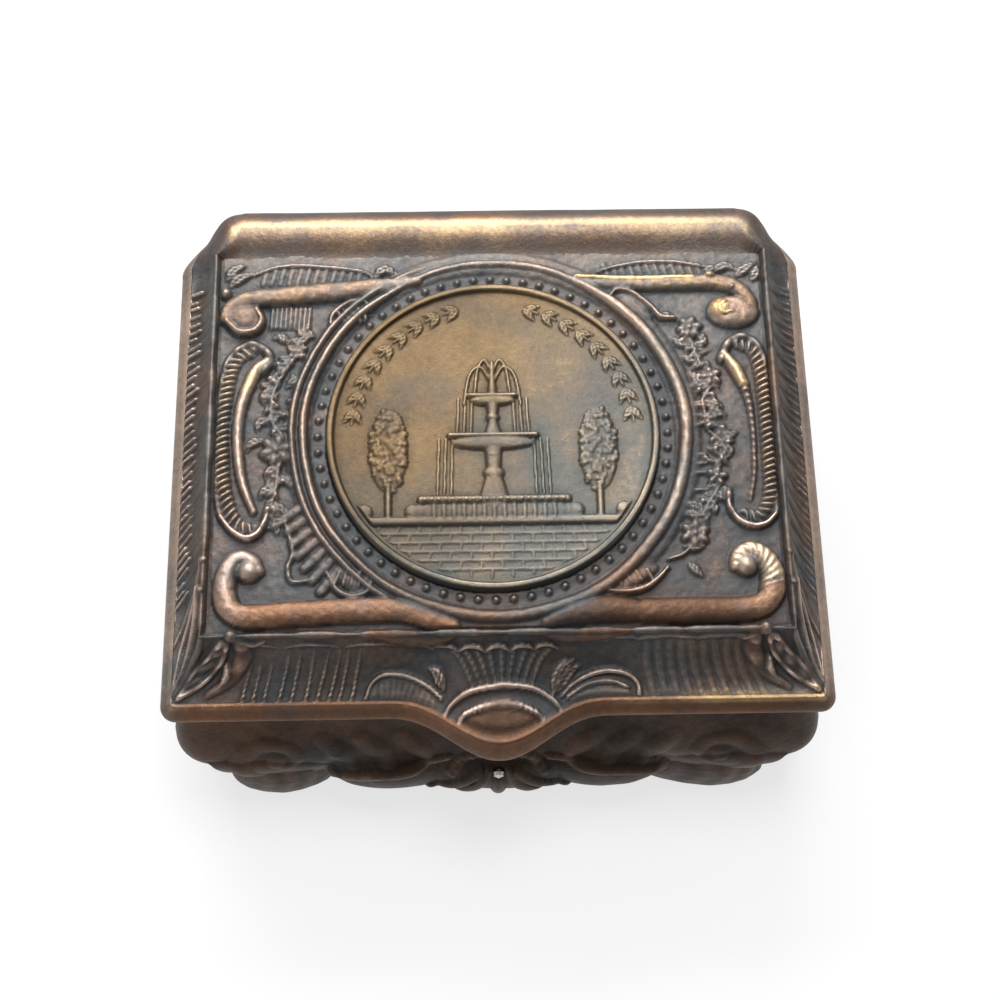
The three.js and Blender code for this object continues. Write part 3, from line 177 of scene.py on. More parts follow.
def ridge(offset, half, power):
    """Height from 0 to 1 of a rounded ridge, at a distance from its crest."""
    return np.clip(1 - (offset / half) ** 2, 0, 1) ** power


def fine_edges(heights, gain):
    """Edges of small forms as values from 0 to 1, with 0.5 for flat ground."""
    return np.clip(0.5 + gain * (heights - blur(heights, 1)), 0, 1)


def swell(end, side, middle):
    """Five values that change to the middle and back again."""
    return (end, side, middle, side, end)


def placed(draw, place):
    """A drawing call whose points are moved to their place first."""
    return lambda points, *form, **options: draw([place(*point) for point in points], *form, **options)


class Relief:
    """Heights over a plan, built up from strokes and domes, and marks for the look of the metal."""

    MARKS = ("gold", "rub", "brown")
    MARKED_RISE = 0.02  # a form marks the points that it raises by more than this
    GROOVE_WIDTH = 0.22  # as a share of the stroke's half width

    def __init__(self, x, y):
        self.x = x
        self.y = y
        self.h = np.zeros_like(x)
        self.gold = np.zeros_like(x)
        self.rub = np.zeros_like(x)
        self.brown = np.zeros_like(x)

    def along(self, line, margin):
        """The points near a line, with their distance, their place along it and their side of it."""
        low = line.min(0) - margin
        high = line.max(0) + margin
        in_x = (self.x > low[0]) & (self.x < high[0])
        in_y = (self.y > low[1]) & (self.y < high[1])
        inside = np.nonzero(in_x & in_y)
        points = np.stack([self.x[inside], self.y[inside]], -1)
        best = np.full(len(points), 1e9)
        place = np.zeros(len(points))
        side = np.zeros(len(points))
        start = 0.0
        for a, b in zip(line[:-1], line[1:]):
            step = b - a
            length = math.hypot(*step)
            t = np.clip(((points - a) @ step) / length ** 2, 0, 1)
            off = points - a - t[:, None] * step
            gap = (off ** 2).sum(1)
            nearer = gap < best
            best[nearer] = gap[nearer]
            place[nearer] = start + t[nearer] * length
            side[nearer] = np.sign(step[0] * off[nearer, 1] - step[1] * off[nearer, 0])
            start += length
        return inside, np.sqrt(best), place, start, side

    def lay(self, inside, form, within, lift, mix, marks):
        """Adds a form to the heights and marks what it raises."""
        old = self.h[inside]
        if mix == "add":
            new = old + np.where(within, form, 0)
        else:
            new = np.where(within, np.maximum(old, lift + form), old)
        self.h[inside] = new
        marked = within & (new > old + self.MARKED_RISE)
        for name in self.MARKS:
            layer = getattr(self, name)
            layer[inside] = np.where(marked, marks.get(name, 0), layer[inside])

    def stroke(self, points, width, height, notch=None, slant=0, groove=0, flat=0.5, mix="max", **marks):
        """A rounded ridge along a line. Its width and height may change, and notches may cross it."""
        widths, heights = (np.atleast_1d(np.asarray(values, float)) for values in (width, height))
        inside, gap, place, total, side = self.along(spline(points), widths.max())
        wide, tall = (np.interp(place / total, np.linspace(0, 1, len(v)), v) for v in (widths, heights))
        across = np.clip(gap / np.maximum(wide, 1e-3), 0, 1)
        form = tall * (1 - across * across) ** flat
        if notch:
            pitch, depth = notch
            phase = (place + slant * gap * side) / pitch
            form = form * (1 - depth * (0.5 - 0.5 * np.cos(2 * np.pi * phase)))
        if groove:
            form = form - groove * tall * np.exp(-((across / self.GROOVE_WIDTH) ** 2))
        self.lay(inside, form, across < 1, 0, mix, marks)

    def dome(self, x, y, rx, ry, height, turn=0, flat=0.5, lift=0, mix="max", **marks):
        """A rounded mound."""
        reach = max(rx, ry)
        inside = np.nonzero((abs(self.x - x) < reach) & (abs(self.y - y) < reach))
        c, s = math.cos(turn), math.sin(turn)
        dx = self.x[inside] - x
        dy = self.y[inside] - y
        q = ((dx * c + dy * s) / rx) ** 2 + ((dy * c - dx * s) / ry) ** 2
        self.lay(inside, height * np.clip(1 - q, 0, 1) ** flat, q < 1, lift, mix, marks)

    def leaf(self, points, width, height, pitch=0.5):
        """A pointed leaf with a sunk midrib and slanting veins."""
        widths = np.array([0.35, 1, 0.9, 0.55, 0.08]) * width
        heights = np.array([0.6, 1, 1, 0.8, 0.3]) * height
        self.stroke(points, widths, heights, notch=(pitch, 0.3), slant=0.8, groove=0.35)

    def flower(self, x, y, radius, petals, height, turn):
        """Petals round a middle."""
        for k in range(petals):
            a = turn + 2 * math.pi * k / petals
            px = x + 0.58 * radius * math.cos(a)
            py = y + 0.58 * radius * math.sin(a)
            self.dome(px, py, 0.46 * radius, 0.34 * radius, height, a)
        self.dome(x, y, 0.3 * radius, 0.3 * radius, 1.15 * height)

    def wear(self, cells, base, gain):
        """How far each point stands above what is round it, as rubbed metal from 0 to 1."""
        above = self.h - blur(blur(self.h, cells), cells)
        return np.clip(base + gain * above + self.rub, 0, 1)

    def noise(self, size, seed):
        return noise(self.x, self.y, size, seed)


# Meshes
def add_object(name, data):
    obj = bpy.data.objects.new(name, data)
    bpy.context.scene.collection.objects.link(obj)
    return obj


def set_marks(mesh, marks):
    """Float marks on the points of a mesh, which its material reads."""
    for label, values in marks.items():
        layer = mesh.attributes.new(label, "FLOAT", "POINT")
        layer.data.foreach_set("value", np.asarray(values, np.float32).ravel())


def shade_smooth(mesh):
    mesh.polygons.foreach_set("use_smooth", np.ones(len(mesh.polygons), bool))


def mesh_object(name, points, faces, marks):
    """An object from points in mm and faces, turned outwards, with float marks on its points."""
    p = (np.asarray(points, float) + FRONT_SHIFT) * MM
    mesh = bpy.data.meshes.new(name)
    mesh.from_pydata(p.tolist(), [], faces)
    mesh.update()
    mesh.calc_loop_triangles()
    corners = np.zeros(len(mesh.loop_triangles) * 3, np.int32)
    mesh.loop_triangles.foreach_get("vertices", corners)
    a, b, c = (p[corners[k::3]] for k in range(3))
    if (a * np.cross(b, c)).sum() < 0:
        mesh.flip_normals()
    shade_smooth(mesh)
    set_marks(mesh, marks)
    return add_object(name, mesh)


def grid_faces(rows, columns, wrap=False):
    """Four-sided faces of a grid of points, closed both ways if it wraps."""
    a, b = np.meshgrid(np.arange(rows - (not wrap)), np.arange(columns - (not wrap)), indexing="ij")
    c = (a + 1) % rows
    d = (b + 1) % columns
    quads = np.stack([a * columns + b, c * columns + b, c * columns + d, a * columns + d], -1)
    return quads.reshape(-1, 4).tolist()


def loop_solid(name, points, marks):
    """A closed ring: rows of points round the box, each row a closed loop."""
    rows, columns = points.shape[:2]
    return mesh_object(name, points.reshape(-1, 3), grid_faces(rows, columns, True), marks)


def slab(name, x, y, top, bottom, marks):
    """A closed slab with a formed top and a flat underside."""
    rows, columns = x.shape
    index = np.arange(rows * columns).reshape(rows, columns)
    edge = np.concatenate([index[:-1, 0], index[-1, :-1], index[:0:-1, -1], index[0, :0:-1]])
    points = np.stack([x, y, top], -1).reshape(-1, 3)
    under = points[edge].copy()
    under[:, 2] = bottom
    first = len(points)
    count = len(edge)
    faces = grid_faces(rows, columns)
    for k in range(count):
        n = (k + 1) % count
        faces.append([edge[n], edge[k], first + k, first + n])
    faces.append(list(range(first, first + count)))
    for label, values in marks.items():
        marks[label] = np.concatenate([values.reshape(-1), np.zeros(count)])
    return mesh_object(name, np.vstack([points, under]), faces, marks)


# Panel of the lid
PANEL_STEP = 0.15
PANEL_MARGIN = 0.2
PANEL_TAIL = 0.3  # margin at the back, under the roll
SEAT_DEPTH = 0.65
SEAT_EDGE = 0.05  # gap between the disc and the wall of its seat
PANEL_EDGE = 0.3  # the outermost strip, which lies low under the border
RING_HALF = 0.6
RING_HEIGHT = 0.86
BEADS = 64
BEAD_RADIUS = 0.34
BEAD_HEIGHT = 0.4
BEAD_CIRCLE = DISC_RADIUS + 0.8
BEAD_GROUND = RING_RADIUS - 1.1  # outer radius of the flat ground under the beads


def disc_polar(x, y):
    """Distance and angle from the middle of the medallion."""
    return np.hypot(x - DISC_X, y - DISC_Y), np.arctan2(y - DISC_Y, x - DISC_X)


def disc_point(r, angle):
    return (DISC_X + r * math.cos(angle), DISC_Y + r * math.sin(angle))


def medallion_frame(relief):
    """The plain ring, slimmer on the left and at the back, and the bead band round the medallion."""
    r, angle = disc_polar(relief.x, relief.y)
    left = smooth(0.1, 0.7, np.cos(angle - math.radians(178)))
    right = smooth(0.3, 0.9, np.cos(angle))
    rear = smooth(0.7, 0.97, np.sin(angle))
    near = smooth(0.35, 0.9, -np.sin(angle))
    wander = 0.06 * np.sin(5 * angle + 0.6) + 0.04 * np.sin(11 * angle)
    crest = RING_RADIUS - 0.28 * left + wander
    half = RING_HALF - 0.16 * left - 0.22 * rear
    main = (RING_HEIGHT - 0.3 * rear) * ridge(r - crest, half, 0.32 + 0.2 * left)
    outer = 0.8 * left * ridge(r - RING_RADIUS - 0.72 - wander, 0.4, 0.6)
    bed = 0.3 * np.clip(1 - ((r - RING_RADIUS - 0.2) / 1.3) ** 4, 0, 1)
    relief.h = np.maximum(relief.h, np.maximum(main, np.maximum(outer, bed)))
    on_ring = main > 0.2
    relief.gold[on_ring] = 0.2
    # Painted light makes the ring lighter on its right, and painted shade makes it darker at its front
    relief.rub = np.where(on_ring, 0.06 + 0.08 * right - 0.16 * near, relief.rub)
    relief.h[(r < BEAD_GROUND) & (r > DISC_RADIUS)] = 0
    pitch = 2 * math.pi / BEADS
    off = (angle / pitch - np.round(angle / pitch)) * pitch * BEAD_CIRCLE
    away = ((r - BEAD_CIRCLE) ** 2 + off ** 2) / BEAD_RADIUS ** 2
    relief.h = np.maximum(relief.h, BEAD_HEIGHT * np.sqrt(np.clip(1 - away, 0, 1)))


def panel_bars(relief):
    """The rolled bars along the front and the back, with their curls and volutes."""
    stroke = relief.stroke
    dome = relief.dome
    short = [(4.2, 6.5), (6.5, 7.3), (9.5, 7.6), (12.7, 7.4)]
    stroke(short, (0.6, 1.2, 1.3, 1.0), (0.6, 0.95, 1.0, 0.8), gold=0.3)
    bar = [(12.9, 7.4), (17, 7.4), (21, 7.4), (23.2, 7.8), (24.2, 9.0), (24.3, 9.6)]
    stroke(bar, (1.1, 1.18, 1.18, 1.15, 1.1), 1.05, gold=0.45, flat=0.36)
    curl = [(24.1, 9.0), (24.3, 10.6), (23.75, 12), (22.6, 12.8), (21.5, 12.4), (21.1, 11.5)]
    widths = (1.15, 1.12, 1.05, 0.9, 0.6)
    heights = (1.08, 1.1, 1.1, 1.0, 0.8)
    stroke(curl, widths, heights, notch=(0.62, 0.12), slant=0.5, gold=0.4, flat=0.4, rub=0.46)
    dome(22.05, 11.5, 1.15, 1.1, 1.12, gold=0.2, rub=0.3)
    bar = [
        (-4.0, 6.2), (-5.6, 6.8), (-8.6, 7.75), (-14, 7.75), (-19, 7.5), (-22.2, 7.4), (-23.6, 8.2),
        (-24, 9.6),
    ]
    widths = (0.8, 1.1, 1.18, 1.18, 1.18, 1.15, 1.1)
    stroke(bar, widths, (0.75, 1.0, 1.05, 1.05, 1.05), gold=0.1, flat=0.36)
    curl = [(-23.6, 8.2), (-24, 9.8), (-23.75, 11.6), (-22.9, 12.7), (-21.7, 12.5), (-21.1, 11.6)]
    stroke(curl, (1.1, 1.08, 1.0, 0.9, 0.6), heights, rub=0.34)
    dome(-21.95, 11.6, 1.2, 1.15, 1.15, rub=0.3)

    rear = [
        (7.0, 40.6), (9, 40.15), (14, 39.95), (20, 40.05), (22.2, 39.8), (23.4, 39.0), (24.1, 37.8),
        (24.1, 36.8),
    ]
    widths = (0.45, 0.8, 0.85, 0.85, 0.85, 0.8)
    stroke(rear, widths, (0.5, 0.66, 0.72, 0.75), gold=0.9, flat=0.4, rub=0.1)
    # A thin ridge along the back edge of the right rear bar, marked bright gold as a painted highlight
    painted_streak = [(8, 40.7), (11, 40.45), (15, 40.4), (19, 40.5)]
    stroke(painted_streak, (0.2, 0.32, 0.3, 0.2), 0.74, gold=1.0, rub=0.4)
    dome(22.55, 36.8, 2.5, 1.7, 1.0, flat=0.4, gold=0.15, rub=0.2)
    dome(21.6, 36.95, 1.4, 1.4, 1.06, gold=1.0, rub=0.34)
    stroke([(22.4, 36.6), (21.6, 36.4), (21.2, 37.1), (21.8, 37.6)], 0.22, 1.14, gold=1.0, rub=0.3)
    dome(20.6, 40.6, 0.7, 0.5, 0.95, gold=0.8)
    dome(22.6, 39.3, 0.35, 0.3, 1.0)
    rear = [
        (-7, 40.5), (-9, 40.1), (-13, 39.6), (-18, 39.1), (-22.5, 38.65), (-24.1, 38.0), (-24.7, 36.8),
    ]
    widths = (0.5, 0.9, 1.0, 1.0, 0.95, 0.8)
    stroke(rear, widths, (0.6, 0.8, 0.85, 0.85), gold=0.85, flat=0.32, rub=0.08)
    dome(-23.2, 36.75, 1.9, 1.75, 0.95, gold=0.6, rub=0.12)
    volute = [(-24.7, 36.3), (-23.6, 35.2), (-22.1, 35.3), (-21.5, 36.4), (-22, 37.5)]
    stroke(volute, 0.4, 0.95, gold=0.3)
    dome(-24.9, 39.3, 0.55, 0.55, 0.8, gold=0.2)


def side_scroll(relief, side, outer, inner, band):
    """A C scroll: hooked ends, a rope of short gadroons at the outer edge, and a smooth inner ridge."""
    stroke = placed(relief.stroke, lambda x, y: (side * x, y))
    heights = swell(0.5, 0.66, 0.68)
    rope = {"notch": (0.62, 0.72), "slant": 0.4, "gold": 0.55, "flat": 0.35, "rub": 0.08}
    stroke(band, (0.6, 0.7, 0.72, 0.72, 0.6), heights, **rope)
    widths = (0.4, 0.34, 0.24, 0.22, 0.22, 0.24, 0.4, 0.5)
    heights = (0.78, 0.7, 0.4, 0.3, 0.3, 0.4, 0.66, 0.76)
    stroke(outer, widths, heights, notch=(1.7, 0.35), gold=0.15)
    stroke(outer[:6], (0.26, 0.34, 0.24), (0.6, 0.8, 0.7), rub=0.24)
    stroke(inner[:3], (0.5, 0.66, 0.6), (0.6, 0.8, 0.74), gold=0.6, rub=0.3)
    if side < 0:
        stroke(inner[2:], (0.6, 0.58, 0.5, 0.36), (0.74, 0.76, 0.7, 0.5), gold=0.15, rub=0.14)
    else:
        stroke(inner[2:], (0.5, 0.28, 0.24, 0.2), (0.7, 0.45, 0.4, 0.3), notch=(0.7, 0.4), gold=0.3)


def panel_scrolls(relief):
    """The C scrolls at the two sides of the panel."""
    outer = [
        (20.9, 18.3), (20.95, 17.1), (21.7, 15.8), (22.9, 15.2), (24.1, 15.4), (25, 16.3), (25.35, 18),
        (25.4, 21), (25.4, 25), (25.35, 29), (25.15, 31.8), (24.5, 33.5), (23.4, 34.2), (22.3, 33.9),
        (21.6, 33), (21.2, 31.9),
    ]
    inner = [
        (21.4, 32.4), (22.2, 31.2), (23.0, 29.4), (23.45, 27.2), (23.6, 24), (23.4, 20.4), (22.9, 17.8),
    ]
    band = [
        (22.7, 33.6), (24.2, 32.7), (24.8, 30), (24.9, 26), (24.9, 21), (24.6, 18), (23.6, 16.3),
        (22.2, 16.4),
    ]
    side_scroll(relief, 1, outer, inner, band)
    outer = [
        (20.4, 17.4), (20.7, 16.1), (21.4, 15), (22.4, 14.75), (23.6, 15.5), (24.6, 16.8), (25.1, 19),
        (25.25, 22), (25.25, 26), (25.1, 29.5), (24.7, 31.8), (24, 33.1), (22.6, 34), (21.2, 33.5),
        (20.6, 32.3), (21.2, 31.2),
    ]
    inner = [
        (20.9, 32.2), (21.8, 31.4), (22.8, 29), (23.3, 26.5), (23.3, 23.4), (22.8, 20.2), (21.7, 17.3),
    ]
    band = [
        (22.2, 33.4), (23.7, 32.4), (24.5, 29.8), (24.75, 26), (24.7, 21.6), (24.2, 18.4), (23.1, 16.1),
        (21.7, 15.6),
    ]
    side_scroll(relief, -1, outer, inner, band)


def panel_rear_band(relief):
    """Long leaves between the rear bars and the roll."""
    left = [(-22.5, 41.3), (-20, 42.2), (-17, 42.25), (-13, 41.8), (-11.4, 41.2), (-11.4, 40.7)]
    right = [(9.8, 41.2), (12, 41.9), (14.5, 42.3), (17.5, 42.25), (20.6, 41.7)]
    for line in (left, right):
        relief.stroke(line, swell(0.1, 0.2, 0.22), 0.34)
    for x in np.arange(-21.5, -12, 0.8):
        relief.stroke([(x, 40.4), (x + 0.35, 41.8)], 0.3, 0.16)
    for x in np.arange(11, 20.5, 0.8):
        relief.stroke([(x, 41.0), (x - 0.35, 42.0)], 0.3, 0.14)
    leaves = [
        [(-24.6, 40.2), (-23.6, 41), (-22.2, 41.6)], [(-24.9, 40.9), (-24.2, 41.9), (-23, 42.5)],
        [(-11, 41), (-10, 41.8), (-8.7, 41)], [(21, 41.2), (22.2, 41.8), (23.4, 41.3)],
        [(23.2, 40.8), (24.3, 41.6), (25.2, 42.2)], [(24.6, 40.3), (25.1, 41), (25.3, 41.9)],
        [(20.2, 40.9), (20.9, 41.5), (21.6, 41.1)],
    ]
    for line in leaves:
        relief.leaf(line, 0.55, 0.5)


def panel_clasps(relief):
    """The four leaf clasps on the ring, on the diagonals."""
    fills = [
        (-13.0, 10.7, 2.0, 1.0, -0.75), (-13.1, 36.9, 2.0, 1.0, 0.8), (12.0, 10.4, 2.6, 0.8, 0.5),
        (13.4, 37.5, 2.2, 0.9, -0.8),
    ]
    for x, y, rx, ry, turn in fills:
        relief.dome(x, y, rx, ry, 0.5, turn)
    outlines = [
        ([(-15, 11.3), (-14.1, 9.7), (-12.7, 9.1), (-11.3, 9.7), (-11.1, 11.2)], 0.62),
        ([(-15.1, 35.5), (-14.9, 36.9), (-13.6, 38.1), (-12.1, 38.4), (-11.3, 37.4)], 0.62),
        ([(9, 9.4), (11, 9.15), (12.8, 9.45), (14.1, 10.3), (15.1, 11.4)], 0.66),
        ([(11, 38.3), (11.7, 39.2), (12.9, 39.1), (14, 38.3), (15, 37.3), (15.8, 36.3), (17.1, 36.2)], 0.66),
    ]
    for line, height in outlines:
        relief.stroke(line, (0.15, 0.3, 0.34, 0.3, 0.18), height, gold=0.15)
    for k in range(5):
        relief.stroke([(-14.3 + 0.7 * k, 10.3 - 0.1 * k), (-13.9 + 0.6 * k, 11.4)], 0.2, 0.62)
        relief.stroke([(-14.4 + 0.62 * k, 37.2 + 0.12 * k), (-13.8 + 0.5 * k, 36.2)], 0.2, 0.6)
        relief.stroke([(10 + 0.9 * k, 9.6 + 0.2 * k), (9.6 + 0.9 * k, 10.4 + 0.2 * k)], 0.2, 0.6)


def ragged_sprig(relief, points, seed):
    """A lumpy stem with small ragged leaves and buds on both sides."""
    draw = np.random.default_rng(seed)
    heading_point = lambda angle: np.array([math.cos(angle), math.sin(angle)])
    relief.stroke(points, (0.24, 0.34, 0.3), 0.42, notch=(0.8, 0.5))
    line = spline(points)
    gone = np.concatenate([[0], np.cumsum(np.hypot(*np.diff(line, axis=0).T))])
    for place in np.arange(0.3, gone[-1], 1.05):
        k = min(int(np.searchsorted(gone, place)), len(line) - 2)
        ahead = line[k + 1] - line[k]
        heading = math.atan2(ahead[1], ahead[0])
        for side in (-1, 1):
            turn = heading + side * draw.uniform(0.5, 1.5)
            bend = turn + draw.uniform(-0.7, 0.7)
            reach = draw.uniform(0.5, 0.95)
            middle = line[k] + reach * heading_point(turn)
            tip = middle + 0.8 * reach * heading_point(bend)
            width = draw.uniform(0.3, 0.52)
            relief.leaf([line[k], middle, tip], width, draw.uniform(0.34, 0.6), pitch=0.7)
            if draw.uniform() < 0.4:
                bud = middle + draw.uniform(-0.4, 0.4, 2)
                relief.dome(bud[0], bud[1], 0.34, 0.26, draw.uniform(0.4, 0.62), turn, rub=0.12)


def panel_foliage(relief):
    """Sprigs, flowers and small leaves in the spandrels."""
    right = [
        (18.1, 36.0), (18.5, 33.8), (19, 32.4), (19.7, 30.7), (19.6, 28.6), (20, 26.4), (20.4, 24.6),
        (20.9, 22.9), (20, 21.2), (19.7, 19.2), (19.6, 17.6), (18.6, 16.4), (17.8, 14.5),
    ]
    left = [
        (-17.2, 35.6), (-18.2, 33.6), (-19.6, 31.5), (-20.6, 29.6), (-20.3, 27.4), (-19.8, 25.2),
        (-19.8, 23.2), (-20, 21.3), (-20.1, 19.2), (-20.1, 17.1), (-19.9, 15.8),
    ]
    ragged_sprig(relief, right, 71)
    ragged_sprig(relief, left, 72)
    flowers = [
        (18.4, 35.2, 1.25, 6, 0.55, 0.2), (20.1, 30.1, 1.05, 5, 0.55, 0.6),
        (20, 20.1, 1.05, 5, 0.6, 0.1), (17.7, 14.6, 1.4, 6, 0.58, 0.4), (19.5, 25.5, 0.85, 5, 0.5, 0.9),
        (-19.8, 23.2, 1.6, 6, 0.6, 0.3), (-18.0, 33.2, 1.0, 5, 0.45, 0.5),
        (-20.2, 17.2, 0.7, 4, 0.5, 0.2), (-18.2, 27.9, 0.9, 5, 0.42, 0.2),
    ]
    for flower in flowers:
        relief.flower(*flower)
    stems = [
        [(18.4, 34), (18.8, 32.4), (19.3, 31.2)], [(20, 29), (19.2, 27.9), (19.3, 26.4)],
        [(19.6, 24.6), (20.6, 23.5), (20.9, 22.6), (20.4, 21.6)],
        [(20.2, 19.2), (19.3, 17.8), (18.4, 16.3)], [(-19.6, 21.6), (-19.7, 19.8), (-20.1, 18)],
        [(-19.2, 24.6), (-20.3, 26.2), (-20.2, 29), (-18.8, 31.8)],
        [(-18.6, 27), (-17.8, 25), (-18.2, 23.6)], [(17.6, 13.8), (16.6, 12.7), (15.2, 12.2)],
    ]
    for line in stems:
        relief.stroke(line, (0.14, 0.2, 0.16), 0.42)
    leaves = [
        [(18.2, 30.6), (18.7, 29.9), (18.3, 29)], [(18.3, 29.2), (19.6, 29.5), (20.9, 29.2)],
        [(18.2, 27.4), (19.8, 27.3), (20.6, 26.6), (21.4, 25.6)],
        [(20.6, 24.2), (21.5, 24.2), (22.3, 24.6)], [(20.8, 23.2), (21.3, 22.6), (20.6, 21.6)],
        [(20.2, 18.9), (20.9, 18.6), (21, 17.9)], [(17, 17.5), (18.3, 17.1), (19.5, 16)],
        [(16.9, 16.6), (18, 16.3), (18.8, 15.4)], [(16.7, 13.4), (17.8, 13.3), (18.8, 13.8)],
        [(17, 11.8), (17.6, 11.1), (18.3, 10.4)], [(18.4, 33.6), (17.4, 33.6), (16.6, 34.3)],
        [(19.3, 34.6), (19.6, 33.9), (19.4, 33.2)], [(18.9, 32), (18.2, 31.9), (17.4, 32.4)],
        [(15.6, 36.2), (16.4, 36.5), (17.2, 36)], [(-20.4, 29.4), (-21.1, 28.6), (-20.8, 27.6)],
        [(-20.6, 26.4), (-21.5, 25.9), (-21.5, 24.9)], [(-21.1, 24.3), (-22.2, 23.9), (-22.5, 23)],
        [(-19.6, 20.6), (-18.7, 20.2), (-18.3, 19.4)], [(-19.7, 19.6), (-20.8, 19.3), (-21.2, 18.4)],
        [(-20, 17.9), (-19, 17.4), (-18.6, 16.6)], [(-18.6, 31.8), (-19.6, 31.6), (-20.1, 30.8)],
        [(-18.2, 34), (-17.4, 34.6), (-16.8, 35.4)], [(-19, 34.2), (-19.8, 34.8), (-20.6, 34.6)],
        [(-19, 29.6), (-18.4, 30.3), (-18.6, 31.2)], [(-20.2, 16.5), (-19.6, 15.8), (-19.6, 14.9)],
        [(-18, 26), (-19, 25.6), (-19.6, 24.8)],
    ]
    for line in leaves:
        relief.leaf(line, 0.5, 0.5)
    for k in range(9):
        x = -20.6 + 0.43 * k
        relief.stroke([(x, 35.7), (x + 0.12, 37.7)], 0.17, 0.3)
    for y in (22.3, 21.4, 20.5, 26.2, 25.2, 18.8):
        relief.stroke([(18.1, y), (19.2, y + 0.05)], (0.2, 0.26, 0.12), 0.3)
    for k in range(7):
        a = math.radians(202 + 3.5 * k)
        fluting = [disc_point(18.3, a), disc_point(20.4 + 0.18 * k, a + 0.02)]
        relief.stroke(fluting, (0.5, 0.62, 0.5), (0.4, 0.52, 0.44), notch=(0.8, 0.08))
    edge = [(-18.9, 16.3), (-18.4, 14.8), (-18.1, 13.2), (-18.5, 11.9), (-18.1, 10.6), (-16.4, 10.7)]
    relief.stroke(edge, (0.16, 0.26, 0.26, 0.16), 0.5, notch=(0.9, 0.25))


def panel_piece():
    """The top of the lid round the medallion: a slab with its ornament, and a seat for the disc."""
    xs = np.arange(-PANEL_HALF - PANEL_MARGIN, PANEL_HALF + PANEL_MARGIN + PANEL_STEP, PANEL_STEP)
    ys = np.arange(PANEL_FRONT - PANEL_MARGIN, PANEL_BACK + PANEL_TAIL, PANEL_STEP)
    x, y = np.meshgrid(xs, ys, indexing="ij")
    relief = Relief(x, y)
    ornaments = (panel_rear_band, panel_foliage, panel_scrolls, panel_bars, panel_clasps, medallion_frame)
    for draw in ornaments:
        draw(relief)
    r, _ = disc_polar(x, y)
    past_ring = r - RING_RADIUS
    rough = 0.05 * relief.noise(2.6, 3) + 0.035 * relief.noise(0.7, 4) + 0.03 * relief.noise(0.38, 5)
    relief.h = relief.h + np.where(r > DISC_RADIUS, rough, 0)

    # Painted light makes the metal brighter towards the back, the ground at the front right is dark, the
    # beads are dull
    back = (y - PANEL_FRONT) / (PANEL_BACK - PANEL_FRONT)
    wear = relief.wear(4, 0.19, 0.85) + 0.15 * back
    wear = wear - 0.1 * smooth(8, 18, x) * (1 - smooth(14, 28, y)) * (1 - smooth(0.2, 0.5, relief.h))
    beads = (r > DISC_RADIUS) & (r < RING_RADIUS - 1.0)
    wear[beads] *= 0.7

    # The front bars are brown, and bright at their ends; the right bar is painted darker than the left, a
    # painted shade
    right = x > 0
    end = smooth(np.where(right, 18.5, 20.5), 23.6, abs(x))
    bar_top = 8.5 + 0.8 * smooth(18, 22, abs(x))
    bars = smooth(0.35, 0.6, relief.h) * (1 - smooth(0, 0.9, y - bar_top)) * smooth(0.5, 1.1, past_ring)
    wear = wear + 0.8 * bars * (np.where(right, 0.1 + 0.55 * end, 0.5 + 0.2 * end) - wear)
    gold = np.maximum(relief.gold, 0.6 * bars * end * right)
    rear_bars = 0.55 * smooth(0.5, 0.75, relief.h) * smooth(34, 36, y) * smooth(0.6, 1.2, past_ring)
    warm = np.clip(0.28 - 0.26 * back + 0.25 * relief.noise(6, 8) + 0.7 * bars, 0, 1)
    warm = np.maximum(warm, rear_bars)
    warm[beads] *= 0.3

    top = np.where(r < DISC_RADIUS + SEAT_EDGE, PANEL_Z - SEAT_DEPTH, PANEL_Z + relief.h)
    edge_y = np.minimum(y - PANEL_FRONT + PANEL_MARGIN, PANEL_BACK + PANEL_TAIL - y)
    edge = np.minimum(PANEL_HALF + PANEL_MARGIN - abs(x), edge_y)
    top = np.where(edge < PANEL_EDGE, np.minimum(top, PANEL_Z - 0.1), top)
    marks = {"wear": wear, "fine": fine_edges(relief.h, 4), "gold": gold, "warm": warm}
    return slab("lid_panel", x, y, top, PANEL_UNDER, marks)


# Border of the lid
FRONT_COLUMNS = 370
SIDE_COLUMNS = 272
CORNER_COLUMNS = 42
REAR_COLUMNS = 101
COVE_STEPS = 44
CREST_STEPS = 12
COVE_START = 0.1  # share of the cove that the band of the lip covers
SIDE_SHIFT = {"front": 0, "right": 200, "rear": 400, "left": 600}  # keeps the four unrolled faces apart
COVE_LENGTH = {"front": 7.9, "right": 6.4, "rear": 8, "left": 6.4}
CORNER_RUN = 9  # length that a rear corner is given in the unrolled plan
FACE_RUN = (-40, 80)  # stretch of the unrolled plan that belongs to one face
FAR_OFF = 9  # stands for a point that is nowhere near a front corner
BOSS_X = 0.2  # the smooth boss inside the arcs at the middle of the front
BOSS_HALF = 3.8
BOSS_REACH = 0.262 * COVE_LENGTH["front"]
PANEL_SIDE_END = PANEL_BACK - 0.4
EDGES = {
    "crest": (CREST_HALF, CREST_FRONT, PANEL_BACK, ROLL_HALF, ROLL_Y),
    "panel": (PANEL_HALF, PANEL_FRONT, PANEL_SIDE_END, ROLL_HALF, ROLL_FOOT),
    "low": (*HOLLOW_LOW, ROLL_HALF, HOLLOW_LOW[2]),
    "high": (*HOLLOW_HIGH, HOLLOW_REAR, HOLLOW_HIGH[2]),
}  # half width, front and back of each line round the lid, then its half width and back at the roll
LIP_SHAPE = (
    (0.42, 0.0), (0.5, 0.2), (0.5, 0.42), (0.42, 0.64), (0.2, 0.88), (-0.1, 1.12), (-0.32, 1.28),
    (-0.48, 1.42), (-0.62, 1.47), (-0.76, 1.42),
)  # offset from the line of the lip, and rise above the underside
LIP_BAND = 4  # rows of the lip that make its upper band
